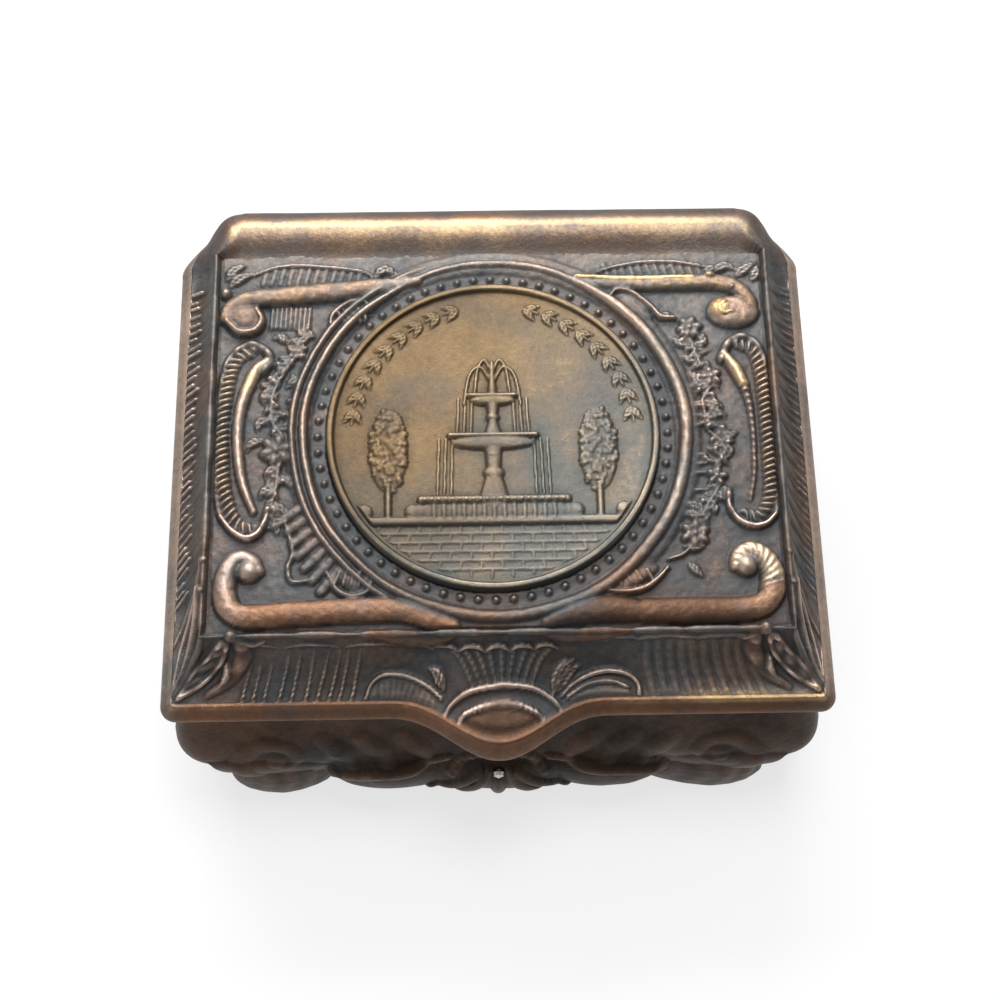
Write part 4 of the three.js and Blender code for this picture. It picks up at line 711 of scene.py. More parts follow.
HIGH_CRESTS = {
    "left": ((9.5, 15.5), (19, 25), (27, 29.5), (32.5, 38.5)),
    "right": ((8, 12), (15.5, 18), (20, 22), (24, 31), (34, 39)),
    "front": ((-20, -16), (-13.5, -11), (-6, -2), (1, 5), (13.5, 18), (19, 26)),
}  # stretches of each crest that aren't worn down


def plan(x, y):
    """Plan points from x and y, where one of them may be a single number."""
    return np.stack(np.broadcast_arrays(x, y), -1)


def tongue(x):
    """How far the tongue stands out of the front line."""
    swing = np.where(abs(x) < TONGUE_HALF, 0.5 + 0.5 * np.cos(np.pi * x / TONGUE_HALF), 0)
    return TONGUE_REACH * swing ** TONGUE_POINT


def front_columns():
    """Lines of the border along the front, from left to right."""
    x = np.linspace(-LID_HALF, LID_HALF, FRONT_COLUMNS + 1)[:-1]
    turn = np.clip((abs(x) - LID_HALF + LIP_CORNER) / LIP_CORNER, 0, 1) * (math.pi / 4)
    corner = turn > 0
    lip_x = np.where(corner, np.sign(x) * (LIP_FLAT + LIP_CORNER * np.sin(turn)), x)
    lip_y = np.where(corner, LIP_CORNER * (1 - np.cos(turn)), -tongue(x))
    share = x / LID_HALF
    reach = TONGUE_HALF - LIP_WIDTH
    return {
        **{key: plan(share * half, front) for key, (half, front, *_) in EDGES.items()},
        "run": x,
        "lip": plan(lip_x, lip_y),
        "out": plan(np.sign(x) * np.sin(turn), -np.cos(turn)),
        "roll": np.zeros_like(x),
        "drop": np.where(abs(x) < reach, TONGUE_DROP * np.cos(np.pi * x / (2 * reach)) + 0.03, 0),
        "pale": 0.5 * smooth(26.5, LID_HALF, abs(x)),
    }


def side_columns():
    """Lines of the border along the right side, from front to back."""
    y = np.linspace(0, SIDE_END, SIDE_COLUMNS + 1)[:-1]
    turn = math.pi / 4 + np.clip(y / LIP_CORNER, 0, 1) * (math.pi / 4)
    corner = y < LIP_CORNER
    lip_x = np.where(corner, LIP_FLAT + LIP_CORNER * np.sin(turn), LID_HALF)
    lip_y = np.where(corner, LIP_CORNER * (1 - np.cos(turn)), y)
    span = lambda low, high: low + (high - low) * (y / SIDE_END)
    return {
        **{key: plan(half, span(front, back)) for key, (half, front, back, *_) in EDGES.items()},
        "run": y,
        "lip": plan(lip_x, lip_y),
        "out": plan(np.sin(turn), -np.cos(turn)),
        "roll": np.zeros_like(y),
        "drop": np.zeros_like(y),
        "pale": 0.5 + 0.5 * smooth(0, 3, y),
    }


def corner_columns():
    """Lines of the border round the right rear corner, where the cove turns into the roll."""
    t = np.arange(CORNER_COLUMNS) / CORNER_COLUMNS
    turn = [(LID_HALF, SIDE_END), (29.35, 44.8), (27.5, 47.2), (25.4, 49.1), (ROLL_HALF, LID_DEPTH)]
    line = spline(turn, 0.02)
    pick = np.linspace(0, len(line) - 1, CORNER_COLUMNS, endpoint=False).astype(int)
    ahead = line[np.minimum(pick + 4, len(line) - 1)] - line[np.maximum(pick - 4, 0)]
    out = plan(ahead[:, 1], -ahead[:, 0])
    span = lambda low, high: low + (high - low) * t
    edges = {}
    for key, (half, _, back, roll_half, roll_back) in EDGES.items():
        edges[key] = plan(span(half, roll_half), span(back, roll_back))
    return {
        **edges,
        "run": t * CORNER_RUN,
        "lip": line[pick],
        "out": out / np.linalg.norm(out, axis=1)[:, None],
        "roll": smooth(0.0, 0.75, t),
        "drop": np.zeros_like(t),
        "pale": 1 - smooth(0, 1, t),
    }


def rear_columns():
    """Lines of the border along the roll, from right to left."""
    x = np.linspace(ROLL_HALF, -ROLL_HALF, REAR_COLUMNS)
    return {
        **{key: plan(x * (half / ROLL_HALF), back) for key, (*_, half, back) in EDGES.items()},
        "run": x,
        "lip": plan(x, LID_DEPTH),
        "out": plan(0 * x, 1),
        "roll": np.ones_like(x),
        "drop": np.zeros_like(x),
        "pale": np.zeros_like(x),
    }


def mirror_columns(part):
    """The same columns on the left-hand side, in the order that goes on round the lid."""
    made = {key: values[::-1].copy() for key, values in part.items()}
    for values in made.values():
        if values.ndim == 2:
            values[:, 0] *= -1
    return made


def border_columns():
    """The columns round the lid, from the front by the right side and the rear to the left side."""
    side = side_columns()
    corner = corner_columns()
    parts = [("front", front_columns()), ("right", side), ("rear", corner), ("rear", rear_columns())]
    parts += [("rear", mirror_columns(corner)), ("left", mirror_columns(side))]
    columns = {key: np.concatenate([part[key] for _, part in parts]) for key in side}
    for key, by_face in (("shift", SIDE_SHIFT), ("length", COVE_LENGTH)):
        columns[key] = np.concatenate([np.full(len(part["run"]), by_face[face]) for face, part in parts])
    return columns


def front_ornament(relief):
    """Ribs, scallops, the shell and the corner leaves in the front cove, by x and share of the cove."""
    place = lambda x, share: (x, share * COVE_LENGTH["front"])
    stroke = placed(relief.stroke, place)
    leaf = placed(relief.leaf, place)

    def scallop(x, outer, inner, levels, widths, heights):
        steps = (-outer, -inner, 0, inner, outer)
        stroke([(x + step, level) for step, level in zip(steps, levels)], widths, heights)

    left_ribs = (-23.1, -22.1, -21.1, -19.8, -18.7, -17.4, -16.4, -15.3, -14.4, -13.3)
    for k, x in enumerate(left_ribs):
        top = 0.5 if k < 3 else 0.7
        lean = -0.7 if k < 6 else -0.25
        rib = [(x, 0.1), (x + 0.5 * lean, 0.5 * top), (x + lean, top)]
        stroke(rib, (0.2, 0.16, 0.1), (0.34, 0.24, 0.08), notch=(0.5, 0.45))
    for x in np.arange(13.9, 25.0, 1.12):
        rib = [(x, 0.1), (x + 0.3, 0.4), (x + 0.75, 0.74)]
        stroke(rib, (0.3, 0.38, 0.34), (0.14, 0.11, 0.09), notch=(0.9, 0.25))
    for x in (-24.4, -18.4, -12.4):
        scallop(x, 2.6, 1.2, swell(0.735, 0.785, 0.8), swell(0.15, 0.26, 0.3), swell(0.08, 0.2, 0.28))
    for x in (10.8, 16.6, 22.6):
        levels = (0.8, 0.87, 0.9, 0.88, 0.82)
        scallop(x, 2.9, 1.4, levels, swell(0.3, 0.5, 0.55), swell(0.15, 0.34, 0.36))
    for x, half in ((-5.4, 1.5), (-2.6, 1.25), (-0.1, 1.2), (2.3, 1.2), (4.6, 1.15)):
        levels = swell(0.69, 0.75, 0.765)
        scallop(x, half, 0.55 * half, levels, swell(0.16, 0.26, 0.28), swell(0.2, 0.38, 0.4))
    for k in range(9):
        lean = (k - 4) / 4
        rib = [(0.3 + 2.8 * lean, 0.46 - 0.08 * lean ** 2)]
        rib += [(0.3 + 3.8 * lean, 0.58), (0.3 + 4.8 * lean, 0.7)]
        stroke(rib, (0.18, 0.24, 0.26), (0.16, 0.22, 0.2), notch=(0.5, 0.5))
    arc = [(-5, 0.06), (-4.3, 0.2), (-2.6, 0.345), (0.3, 0.41), (3, 0.355), (4.8, 0.21), (5.7, 0.06)]
    stroke(arc, swell(0.18, 0.22, 0.22), swell(0.4, 0.46, 0.42), gold=0.05)
    arc = [(-3.8, 0.06), (-3.1, 0.165), (-1.6, 0.25), (0.2, 0.28), (2, 0.25), (3.4, 0.155), (4.1, 0.06)]
    stroke(arc, (0.19, 0.19, 0.26, 0.3, 0.26, 0.19, 0.19), (0.4, 0.42, 0.3, 0.26, 0.3, 0.42, 0.4))
    for end in (arc[:3], arc[4:]):
        stroke(end, 0.2, 0.5, notch=(0.5, 0.5))

    # Arches and lobes left of the shell, then right of it
    arch = [
        (-12, 0.12), (-11.85, 0.27), (-11, 0.365), (-9.4, 0.37), (-7.8, 0.325), (-6.4, 0.27),
        (-5.3, 0.21),
    ]
    stroke(arch, (0.18, 0.24, 0.26, 0.24, 0.15), 0.42)
    fill = [(-11.3, 0.17), (-9.6, 0.23), (-7.6, 0.2), (-6.1, 0.14)]
    stroke(fill, (0.7, 1.05, 0.95, 0.4), 0.22, notch=(0.55, 0.3))
    lobe = [(-12.5, 1.0), (-9.8, 0.91), (-7.2, 0.84), (-5.4, 0.87), (-4.4, 0.96)]
    stroke(lobe, swell(0.4, 1.0, 1.3), (0.2, 0.5, 0.58, 0.45, 0.2), flat=0.6, brown=0.8)
    stroke([(-8.4, 0.84), (-7.2, 0.78), (-6.4, 0.72)], (0.2, 0.3, 0.14), 0.5)
    lobe = [(4.4, 0.96), (5.8, 0.9), (8.2, 0.89), (10.6, 0.94), (12.8, 1.0)]
    stroke(lobe, swell(0.4, 0.9, 1.1), swell(0.2, 0.45, 0.52), flat=0.6, gold=0.4, brown=0.8)
    stroke([(7.0, 0.78), (9.4, 0.8), (12.4, 0.86)], (0.1, 0.2, 0.1), 0.3)
    arch = [(5.7, 0.2), (7, 0.28), (8.8, 0.35), (10.5, 0.38), (12, 0.345), (12.8, 0.25), (12.7, 0.12)]
    stroke(arch, (0.15, 0.26, 0.3, 0.28, 0.2), (0.3, 0.42, 0.46, 0.46, 0.4))
    stroke([(6.2, 0.17), (8.2, 0.24), (10.4, 0.265), (11.8, 0.2)], (0.15, 0.28, 0.28, 0.18), 0.34)
    stroke([(6.6, 0.13), (9, 0.16), (11.6, 0.13)], (0.35, 0.55, 0.45), 0.2)
    tips = [
        [(5.0, 0.26), (5.6, 0.42), (6.6, 0.55)], [(5.4, 0.26), (6.6, 0.39), (7.9, 0.46)],
        [(5.2, 0.3), (6.2, 0.44), (7.4, 0.53)], [(-5.2, 0.3), (-5.9, 0.42), (-6.8, 0.48)],
    ]
    for tip in tips:
        leaf(tip, 0.62, 0.55)

    # Leaves in the two corners
    for side in (-1, 1):
        corner = placed(relief.stroke, lambda x, share: place(side * x, share))
        body = [(26.6, 1.02), (25.6, 0.86), (24.9, 0.6), (25.2, 0.36), (26.4, 0.2)]
        heights = (0.5, 0.6, 0.62, 0.55, 0.35)
        corner(body, (0.5, 0.85, 1.0, 0.9, 0.5), heights, notch=(2.3, 0.45), flat=0.7, brown=0.5)
        lobe = [(26.2, 0.5), (25.7, 0.36), (25.9, 0.24)]
        corner(lobe, (0.3, 0.6, 0.3), (0.4, 0.7, 0.4), flat=0.8, rub=0.1)
        lobe = [(25.4, 0.9), (24.2, 0.82), (23.2, 0.86)]
        corner(lobe, (0.3, 0.5, 0.2), (0.4, 0.4, 0.2), flat=0.8, rub=0.1)
        body = [(29.2, 0.13), (28.4, 0.4), (27.7, 0.62), (27.2, 0.86)]
        heights = (0.3, 0.42, 0.46, 0.5)
        corner(body, (0.3, 0.95, 1.0, 0.4), heights, notch=(1.5, 0.4), slant=0.6, flat=0.8, rub=0.08)
        loop = [
            (29.1, 0.14), (28.9, 0.42), (28.2, 0.62), (27.3, 0.9), (26.8, 0.76), (26.9, 0.5),
            (27.6, 0.3), (29.1, 0.14),
        ]
        heights = (0.5, 0.58, 0.6, 0.66, 0.6, 0.56, 0.5)
        corner(loop, (0.3, 0.34, 0.36, 0.4, 0.36, 0.34, 0.3), heights, notch=(1.9, 0.4), rub=0.08)
        corner([(29.5, 0.1), (29.5, 0.5), (29.5, 0.92)], (0.3, 0.45, 0.3), (0.3, 0.36, 0.2))


def side_ornament(relief, face):
    """Ticks, soft folds and a leaf at the front end of a side cove, by y and by share of the cove."""
    left = face == "left"
    bold = 1.0 if left else 0.55
    faint = 0.05 if left else 0.1
    fold_pitch = 3.3 if left else 1.9
    fold_height = 0.08 if left else 0.22
    draw = np.random.default_rng(5 if left else 6)
    stroke = placed(relief.stroke, lambda y, share: (SIDE_SHIFT[face] + y, share * COVE_LENGTH[face]))
    for y in np.arange(8.6, 42.0, 0.86):
        y = y + draw.uniform(-0.12, 0.12)
        reach = draw.uniform(0.24, 0.36)
        stroke([(y, 0.1), (y, reach)], (0.2, 0.16), bold * draw.uniform(0.24, 0.42))
        tail = [(y, reach), (y + 0.1, 0.5), (y + 0.2, 0.7)]
        stroke(tail, (0.24, 0.28, 0.16), (faint, 0.8 * faint, 0.02))
    for y in np.arange(8.5, 42, fold_pitch):
        lean = draw.uniform(0.0, 0.5)
        tall = draw.uniform(0.7, 1.0) * fold_height
        fold = [(y, 0.25), (y + 0.5 * lean, 0.5), (y + lean, 0.8), (y + lean, 1.0)]
        stroke(fold, (0.5, 0.85, 0.85, 0.6), (0.4 * tall, tall, tall, 0.7 * tall), flat=0.9)
    loop = [
        (0.5, 0.14), (1.0, 0.4), (2.4, 0.62), (4.6, 0.94), (5.6, 0.86), (4.8, 0.56), (3.2, 0.3),
        (0.5, 0.14),
    ]
    stroke(loop, (0.3, 0.36, 0.4, 0.4, 0.4, 0.36, 0.3), (0.45, 0.6, 0.65, 0.65, 0.6, 0.55, 0.45))
    fold = [(5.2, 0.16), (6.0, 0.4), (7.4, 0.7), (8.2, 0.98)]
    stroke(fold, (0.3, 0.6, 0.65, 0.4), (0.3, 0.45, 0.45, 0.35))
    stroke([(0, 0.1), (0, 0.5), (0, 0.92)], (0.3, 0.45, 0.3), (0.3, 0.36, 0.2))
    body = [(0.6, 0.14), (2, 0.42), (3.6, 0.66), (5, 0.86)]
    stroke(body, (0.3, 0.9, 1.0, 0.4), (0.3, 0.4, 0.44, 0.44), notch=(1.6, 0.4), slant=0.6, flat=0.8)


def crest_line(relief, face):
    """The raised line along the top of a cove, in worn dashes."""
    run = relief.x - SIDE_SHIFT[face]
    lift = np.full_like(run, 0.14)
    for low, high in HIGH_CRESTS[face]:
        lift = lift + 0.14 * smooth(low - 0.6, low + 0.6, run) * (1 - smooth(high - 0.6, high + 0.6, run))
    bead = lift * np.sqrt(np.clip(1 - ((relief.y - COVE_LENGTH[face] - 0.1) / 0.36) ** 2, 0, 1))
    on_face = (run > FACE_RUN[0]) & (run < FACE_RUN[1])
    relief.h = np.where(on_face, np.maximum(relief.h, bead), relief.h)


def border_points(lip, crest, panel, out, low, high, roll, drop):
    """Rows of points from the lip over the cove and the crest to the panel, and back underneath."""
    rows = []
    add = lambda line, z: rows.append(np.column_stack([line, np.broadcast_to(z, len(roll))]))
    for offset, rise in LIP_SHAPE:
        kept = np.where(offset < 0, offset * (1 - roll), offset)
        add(lip + out * kept[:, None], LID_BOTTOM - drop * max(0, 1 - rise / LIP_RISE) + rise)
    for v in np.arange(COVE_STEPS + 1) / COVE_STEPS:
        a = (COVE_START + (1 - COVE_START) * v) * math.pi / 2 * (1 - roll) + v * math.pi / 2 * roll
        inward = (1 - roll) * np.sin(a) + roll * (1 - np.cos(a))
        rise = (1 - roll) * COVE_RISE * (1 - np.cos(a)) + roll * (ROLL_Z - LIP_TOP) * np.sin(a)
        add(lip + (crest - lip) * inward[:, None], LIP_TOP + rise)
    crest_z = CREST_Z + (ROLL_Z - CREST_Z) * roll
    for f in (np.arange(CREST_STEPS) + 1) / CREST_STEPS:
        fall = (1 - roll) * f ** 2 * (3 - 2 * f) + roll * (0.5 - 0.5 * math.cos(math.pi * f ** 1.15))
        add(crest + (panel - crest) * f, crest_z + (PANEL_Z - 0.08 - crest_z) * fall)
    skin = slice(len(LIP_SHAPE), len(rows))
    add(panel, PANEL_UNDER + 0.4)
    add(high, PANEL_UNDER)
    add(low, LID_BOTTOM)
    inner = lip + out * (LIP_FLARE - LIP_WIDTH)
    add(inner - 0.15 * out, LID_BOTTOM)
    add(inner, LID_BOTTOM - drop)
    return np.stack(rows, 1), skin


def border_piece():
    """The lip, the coves, the crests and the roll round the panel, as one closed ring."""
    columns = border_columns()
    coved = ("front", "left", "right")
    on_front, on_left, on_right = (columns["shift"] == SIDE_SHIFT[face] for face in coved)
    pale, own_run = columns["pale"], columns["run"]
    run = columns["shift"] + own_run
    form_keys = ("lip", "crest", "panel", "out", "low", "high", "roll", "drop")
    points, skin = border_points(*(columns[key] for key in form_keys))
    shown = points[:, skin]
    along = np.roll(shown, -1, 0) - np.roll(shown, 1, 0)
    normal = np.cross(along, np.gradient(shown, axis=1))
    normal = normal / np.maximum(np.linalg.norm(normal, axis=2), 1e-9)[..., None]

    climb = COVE_START + (1 - COVE_START) * np.arange(COVE_STEPS + 1) / COVE_STEPS
    height = np.concatenate([climb, 1 + 0.08 * (np.arange(CREST_STEPS) + 1) / CREST_STEPS])
    relief = Relief(np.repeat(run[:, None], len(height), 1), columns["length"][:, None] * height)
    front_ornament(relief)
    for face in coved[1:]:
        side_ornament(relief, face)
    for face in coved:
        crest_line(relief, face)
    boss = np.clip(1 - ((relief.x - BOSS_X) / BOSS_HALF) ** 2 - (relief.y / BOSS_REACH) ** 2, 0, 1)
    relief.h = np.maximum(relief.h, 0.3 * boss ** 0.5)
    roll = columns["roll"][:, None]
    cove = 1 - roll
    rough = 0.05 * relief.noise(1.7, 11) + 0.03 * relief.noise(0.6, 12)
    relief.h = relief.h + cove * rough + 0.02 * relief.noise(3.5, 13)

    # The relief fades out at the lip, at the panel and on the upper part of the front corners
    fade = smooth(COVE_START, COVE_START + 0.04, height) * (1 - smooth(1.05, 1.08, height))
    off_front = np.where(on_front, abs(abs(run) - LID_HALF), FAR_OFF)
    off_side = np.where(on_left | on_right, own_run, FAR_OFF)
    corner = 1 - smooth(0.2, 1.4, np.minimum(off_front, off_side))
    fade = fade * (1 - corner[:, None] * smooth(0.86, 0.97, height))
    points[:, skin] = shown + normal * (relief.h * fade)[..., None]
    points[..., 0] = np.clip(points[..., 0], BOX_LOW[0], BOX_HIGH[0])
    points[..., 1] = np.maximum(points[..., 1], BOX_LOW[1] - FRONT_LINE)

    def spread(rest, lip, shown_values):
        """Marks for every row: those underneath, those of the lip and those of the shown skin."""
        values = np.full(points.shape[:2], rest)
        values[:, :skin.start] = np.reshape(lip, (-1, 1))
        values[:, skin] = shown_values
        return values

    band = np.s_[:, skin.start - LIP_BAND:skin.start]
    # A painted highlight along the crest of the roll, bright and gold
    painted_roll_highlight = np.exp(-((height - 0.94) / 0.12) ** 2)
    patch = 0.09 * relief.noise(4.5, 15) + 0.05 * relief.noise(1.6, 16)
    rear = smooth(0.55, 0.9, height)
    foot = smooth(1.0, 1.07, height)
    # A painted gold highlight along the top edge of the front lip, growing to the right
    right_lip_glint = smooth(9, 22, run) * on_front
    painted_lip_glint = right_lip_glint[:, None] * (1 - smooth(COVE_START, 0.26, height))
    tip = 1 - smooth(5, 10, abs(run))
    on_boss = smooth(0, 0.12, boss)

    rubbed = relief.wear(3, 0.22, 1.9) + 0.05 * on_left[:, None]
    rubbed = rubbed * cove + (0.1 + 0.16 * rear + 0.5 * painted_roll_highlight + patch) * roll + 0.4 * painted_lip_glint
    wear = spread(0.42, 0.33 + 0.3 * pale - 0.07 * tip, rubbed + (0.08 - rubbed) * on_boss)
    wear[band] += (0.14 - 0.04 * pale + 0.3 * right_lip_glint - 0.06 * tip)[:, None]
    gold = np.maximum(np.maximum(relief.gold, roll * (0.65 + 0.35 * painted_roll_highlight)), painted_lip_glint)
    gold = spread(0.1, 0.15 + 0.3 * right_lip_glint, gold)
    gold[band] = (0.2 + 0.3 * (1 - pale) + 0.5 * right_lip_glint)[:, None]
    brown = (0.35 + 0.5 * rear - 0.7 * painted_roll_highlight * (1 - foot)) * (1 - 0.75 * foot)
    warm = np.clip(0.2 - 0.12 * on_left[:, None] + 0.25 * relief.noise(5, 14), 0, 1) * cove + brown * roll
    warm = np.maximum(np.maximum(warm, on_boss), blur(relief.brown, 2))
    fine = spread(0.5, 0.5, fine_edges(relief.h, 4))
    marks = {"wear": wear, "fine": fine, "gold": gold, "warm": spread(0.7, 1 - 0.75 * pale, warm)}
    return loop_solid("lid_border", points, marks)


# Medallion
MEDALLION_COUNT = 241
GROUND = -8.6  # level of the terrace on the disc
COURSE = 0.85  # height of a course of paving
TREE_X = 9.5
TREE_MIDDLE = 6.9  # above the terrace
TREE_TALL = 4.1
TREE_CLUMPS = 120
SPRIG_RADIUS = 12.9


def fountain(relief):
    """A tiered garden fountain on a paved terrace."""
    stroke = relief.stroke
    dome = relief.dome

    def level(half, rise, width, height, flat=0.5):
        stroke([(-half, GROUND + rise), (half, GROUND + rise)], width, height, flat=flat)

    def post(low, waist, high, widths):
        stroke([(0, GROUND + low), (0, GROUND + waist), (0, GROUND + high)], widths, 0.45, flat=0.35)

    for k in range(6):
        y = GROUND - 0.35 - COURSE * k
        stroke([(-13, y), (13, y)], 0.16, 0.11)
        for x in np.arange(-12 + 0.9 * (k % 2), 13, 1.8):
            stroke([(x, y), (x * 1.05, y - COURSE)], 0.14, 0.09)
    level(11.6, 0, 0.42, 0.42, 0.3)
    level(5.9, 0.9, 0.7, 0.4, 0.25)
    level(6.5, 2.0, 0.42, 0.55, 0.3)
    for x in np.arange(-5.4, 5.5, 0.9):
        stroke([(x, GROUND + 0.35), (x, GROUND + 1.5)], 0.22, 0.12, mix="add")
    for x in np.arange(-6.2, 6.3, 0.62):
        dome(x, GROUND + 2.0, 0.2, 0.2, 0.12, mix="add")
    post(2, 3.6, 7.6, (1.4, 0.6, 0.85))
    dome(0, GROUND + 4.6, 1.0, 0.7, 0.52)
    dome(0, GROUND + 6.4, 0.75, 0.45, 0.52)
    dome(0, GROUND + 7.6, 3.9, 0.75, 0.5, flat=0.35)
    level(3.9, 8.3, 0.3, 0.55)
    post(8, 9.4, 11.6, (0.9, 0.4, 0.6))
    dome(0, GROUND + 10.1, 0.65, 0.45, 0.5)
    dome(0, GROUND + 11.8, 2.1, 0.55, 0.48, flat=0.35)
    level(2.1, 12.3, 0.24, 0.5)
    stroke([(0, GROUND + 12.3), (0, GROUND + 15.6)], (0.45, 0.2), 0.4)


def fountain_side(relief, side):
    """The water, the tree, the shrubs and the leaf sprig on one side of the fountain."""
    stroke = placed(relief.stroke, lambda x, rise: (x * side, GROUND + rise))
    for reach, top, foot, start in ((1.6, 15.9, 12.7, 14.6), (2.6, 15.2, 11.4, 13.6)):
        stroke([(0.1, start), (0.4 * reach, top), (0.8 * reach, top - 0.9), (reach, foot)], 0.13, 0.3)
    for x in (1.9, 2.5, 3.1):
        stroke([(x, 12), (x * 1.05, 8.6)], 0.1, 0.24)
    for x in (3.7, 4.3, 4.9):
        stroke([(x, 8), (x * 1.04, 2.4)], 0.1, 0.22)
    tree = TREE_X * side
    stroke([(TREE_X, 0), (TREE_X, 3.4)], 0.32, 0.4)
    draw = np.random.default_rng(21)
    relief.dome(tree, GROUND + TREE_MIDDLE, 1.75, TREE_TALL, 0.34, flat=0.35)
    for _ in range(TREE_CLUMPS):
        a = draw.uniform(0, 2 * math.pi)
        r = math.sqrt(draw.uniform(0, 1))
        x = tree + 1.7 * r * math.cos(a) * side
        y = GROUND + TREE_MIDDLE + TREE_TALL * r * math.sin(a)
        rx, ry = draw.uniform(0.22, 0.36), draw.uniform(0.22, 0.36)
        relief.dome(x, y, rx, ry, draw.uniform(0.1, 0.2), a, lift=0.34 * (1 - r * r) ** 0.35)
    for x in (6.6, 7.3, 11.6, 12.3):
        relief.dome(x * side, GROUND + 0.9, 0.75, 0.8, 0.34)
    for k in range(9):
        a = math.radians(90 + side * (14 + 8.2 * k))
        b = a + math.radians(side * 6)
        start, end = (SPRIG_RADIUS * np.array([math.cos(angle), math.sin(angle)]) for angle in (a, b))
        relief.stroke([start, end], 0.12, 0.2)
        for r in (12.0, 13.7):
            tip = r * np.array([math.cos(b), math.sin(b)])
            relief.leaf([start, (start + tip) / 2, tip], 0.42, 0.34)


def medallion_piece():
    """The struck disc: a sunk field with the fountain, inside a plain rim."""
    line = np.linspace(-1, 1, MEDALLION_COUNT)
    u, v = np.meshgrid(line, line, indexing="ij")
    x = DISC_RADIUS * u * np.sqrt(1 - v * v / 2)
    y = DISC_RADIUS * v * np.sqrt(1 - u * u / 2)
    relief = Relief(x, y)
    fountain(relief)
    for side in (-1, 1):
        fountain_side(relief, side)
    r = np.hypot(x, y)
    inside = 1 - smooth(DISC_RADIUS - 1.15, DISC_RADIUS - 0.95, r)
    rim = 0.38 * smooth(DISC_RADIUS - 0.72, DISC_RADIUS - 0.5, r)
    rim = rim - 0.12 * smooth(DISC_RADIUS - 0.18, DISC_RADIUS, r)
    relief.h = np.maximum(relief.h * inside * 0.8, rim) - 0.05 * (1 - (r / DISC_RADIUS) ** 2)
    relief.h = relief.h + 0.008 * relief.noise(0.9, 31)
    # The disc is golden and warmer to its upper left, partly a painted highlight there, greyer to its lower
    # right and brighter to its right
    marks = {
        "wear": relief.wear(4, 0.4, 1.3) + 0.12 * x / DISC_RADIUS,
        "fine": fine_edges(relief.h, 5),
        "gold": np.clip(0.5 + 0.3 * smooth(0, 12, y - x), 0, 1),
        "warm": np.clip(0.6 - x / 36 + y / 26 + 0.25 * relief.noise(5, 32), 0, 1),
    }
    return slab("medallion", x + DISC_X, y + DISC_Y, FIELD_Z + relief.h, DISC_BOTTOM, marks)


# Case
CASE_ROWS = 62
FRONT_COUNT = 300
SIDE_COUNT = 170
BACK_COUNT = 110
TURN_COUNT = 13
FLANKS = ("right", "left")
BACK_HALF = 24  # half width of the ornament on the back
# How far the hem, the belly and the neck stand outside the rim
SIDE_CURVE = (-1.4, 0.95, -0.5)
FRONT_CURVE = (1.7, 2.4, 0)
BACK_CURVE = (-1.6, 0, 0)
FRONT_GAP = 0.4  # least distance from the front of the rim to the inner face of the wall
HEM_STEP = 0.4  # height of the lowest row of the inner face


def wall_curve(curve, z):
    """How far a face of the case stands outside the rim at each height."""
    hem, belly, neck = curve
    knots_z = [HEM_Z - 2, HEM_TOP, BELLY_Z, NECK_Z, RIM_UNDER, RIM_Z]
    line = spline(list(zip(knots_z, [hem, hem, belly, neck, 0, 0])), 0.05)
    return np.interp(z, line[:, 0], line[:, 1])


def apron(along, z, lobes):
    """How far the lobes of a face stand out of the hem."""
    out = np.zeros_like(along)
    for centre, half, depth in lobes:
        q = ((along - centre) / half) ** 2 + ((z - LOBE_Z) / LOBE_HEIGHT) ** 2
        out = np.maximum(out, depth * np.sqrt(np.clip(1 - q, 0, 1)))
    return out


def apron_foot(along, lobes):
    """Lower edge of a face, under its lobes."""
    low = np.full_like(along, HEM_Z)
    for centre, half, _ in lobes:
        q = np.clip(1 - ((along - centre) / half) ** 2, 0, 1)
        low = np.where(q > 0, np.minimum(low, LOBE_Z - LOBE_HEIGHT * np.sqrt(q)), low)
    return low


def front_wall_ornament(relief):
    """Scrolls, leaves and the shell on the front of the case, by x and z."""
    scroll = [
        (15.2, 6.2), (17.5, 4.6), (20.6, 4.4), (23.4, 6.2), (24, 9.2), (22.2, 11.6), (19.6, 11.5),
        (18.6, 9.8), (19.8, 8.4),
    ]
    branch = [(4.6, 9.6), (8, 8.2), (12, 7.6), (15.2, 6.2)]
    leaves = [
        [(6.4, 9), (7.4, 10.9), (8.9, 12.6)], [(10, 8.6), (11, 10.7), (12.5, 12.5)],
        [(13.6, 8.2), (14.6, 10.5), (16.1, 12.4)],
    ]
    ribs = [[(0.9, 8.4), (2.3, 5), (3.8, 2.8)], [(1.6, 8.2), (4, 5.2), (6.2, 3.6)]]
    rib_form = ((0.4, 0.6, 0.7), (0.35, 0.45, 0.45))
    for side in (-1, 1):
        stroke = placed(relief.stroke, lambda x, z: (side * x, z))
        stroke(scroll, (0.7, 1.1, 1.2, 1.0, 0.7), swell(0.15, 0.24, 0.28), flat=0.9)
        relief.dome(side * 20.5, 9.5, 1.2, 1.2, 0.25, flat=0.9)
        relief.dome(side * 22.5, 5.8, 7.5, 3.6, 0.9, flat=0.8, mix="add")
        stroke(branch, (0.4, 0.6, 0.6, 0.4), 0.45)
        for line in leaves:
            stroke(line, (0.7, 1.4, 1.1), (0.15, 0.3, 0.18), flat=1.1)
        for line in ribs:
            stroke(line, *rib_form)
    relief.stroke([(0, 7.2), (0, 5), (0, 2.4)], *rib_form)
    relief.stroke([(-4.4, 7.4), (-3, 9.5), (0, 10.4), (3, 9.5), (4.4, 7.4)], 0.5, 0.45, notch=(0.8, 0.25))


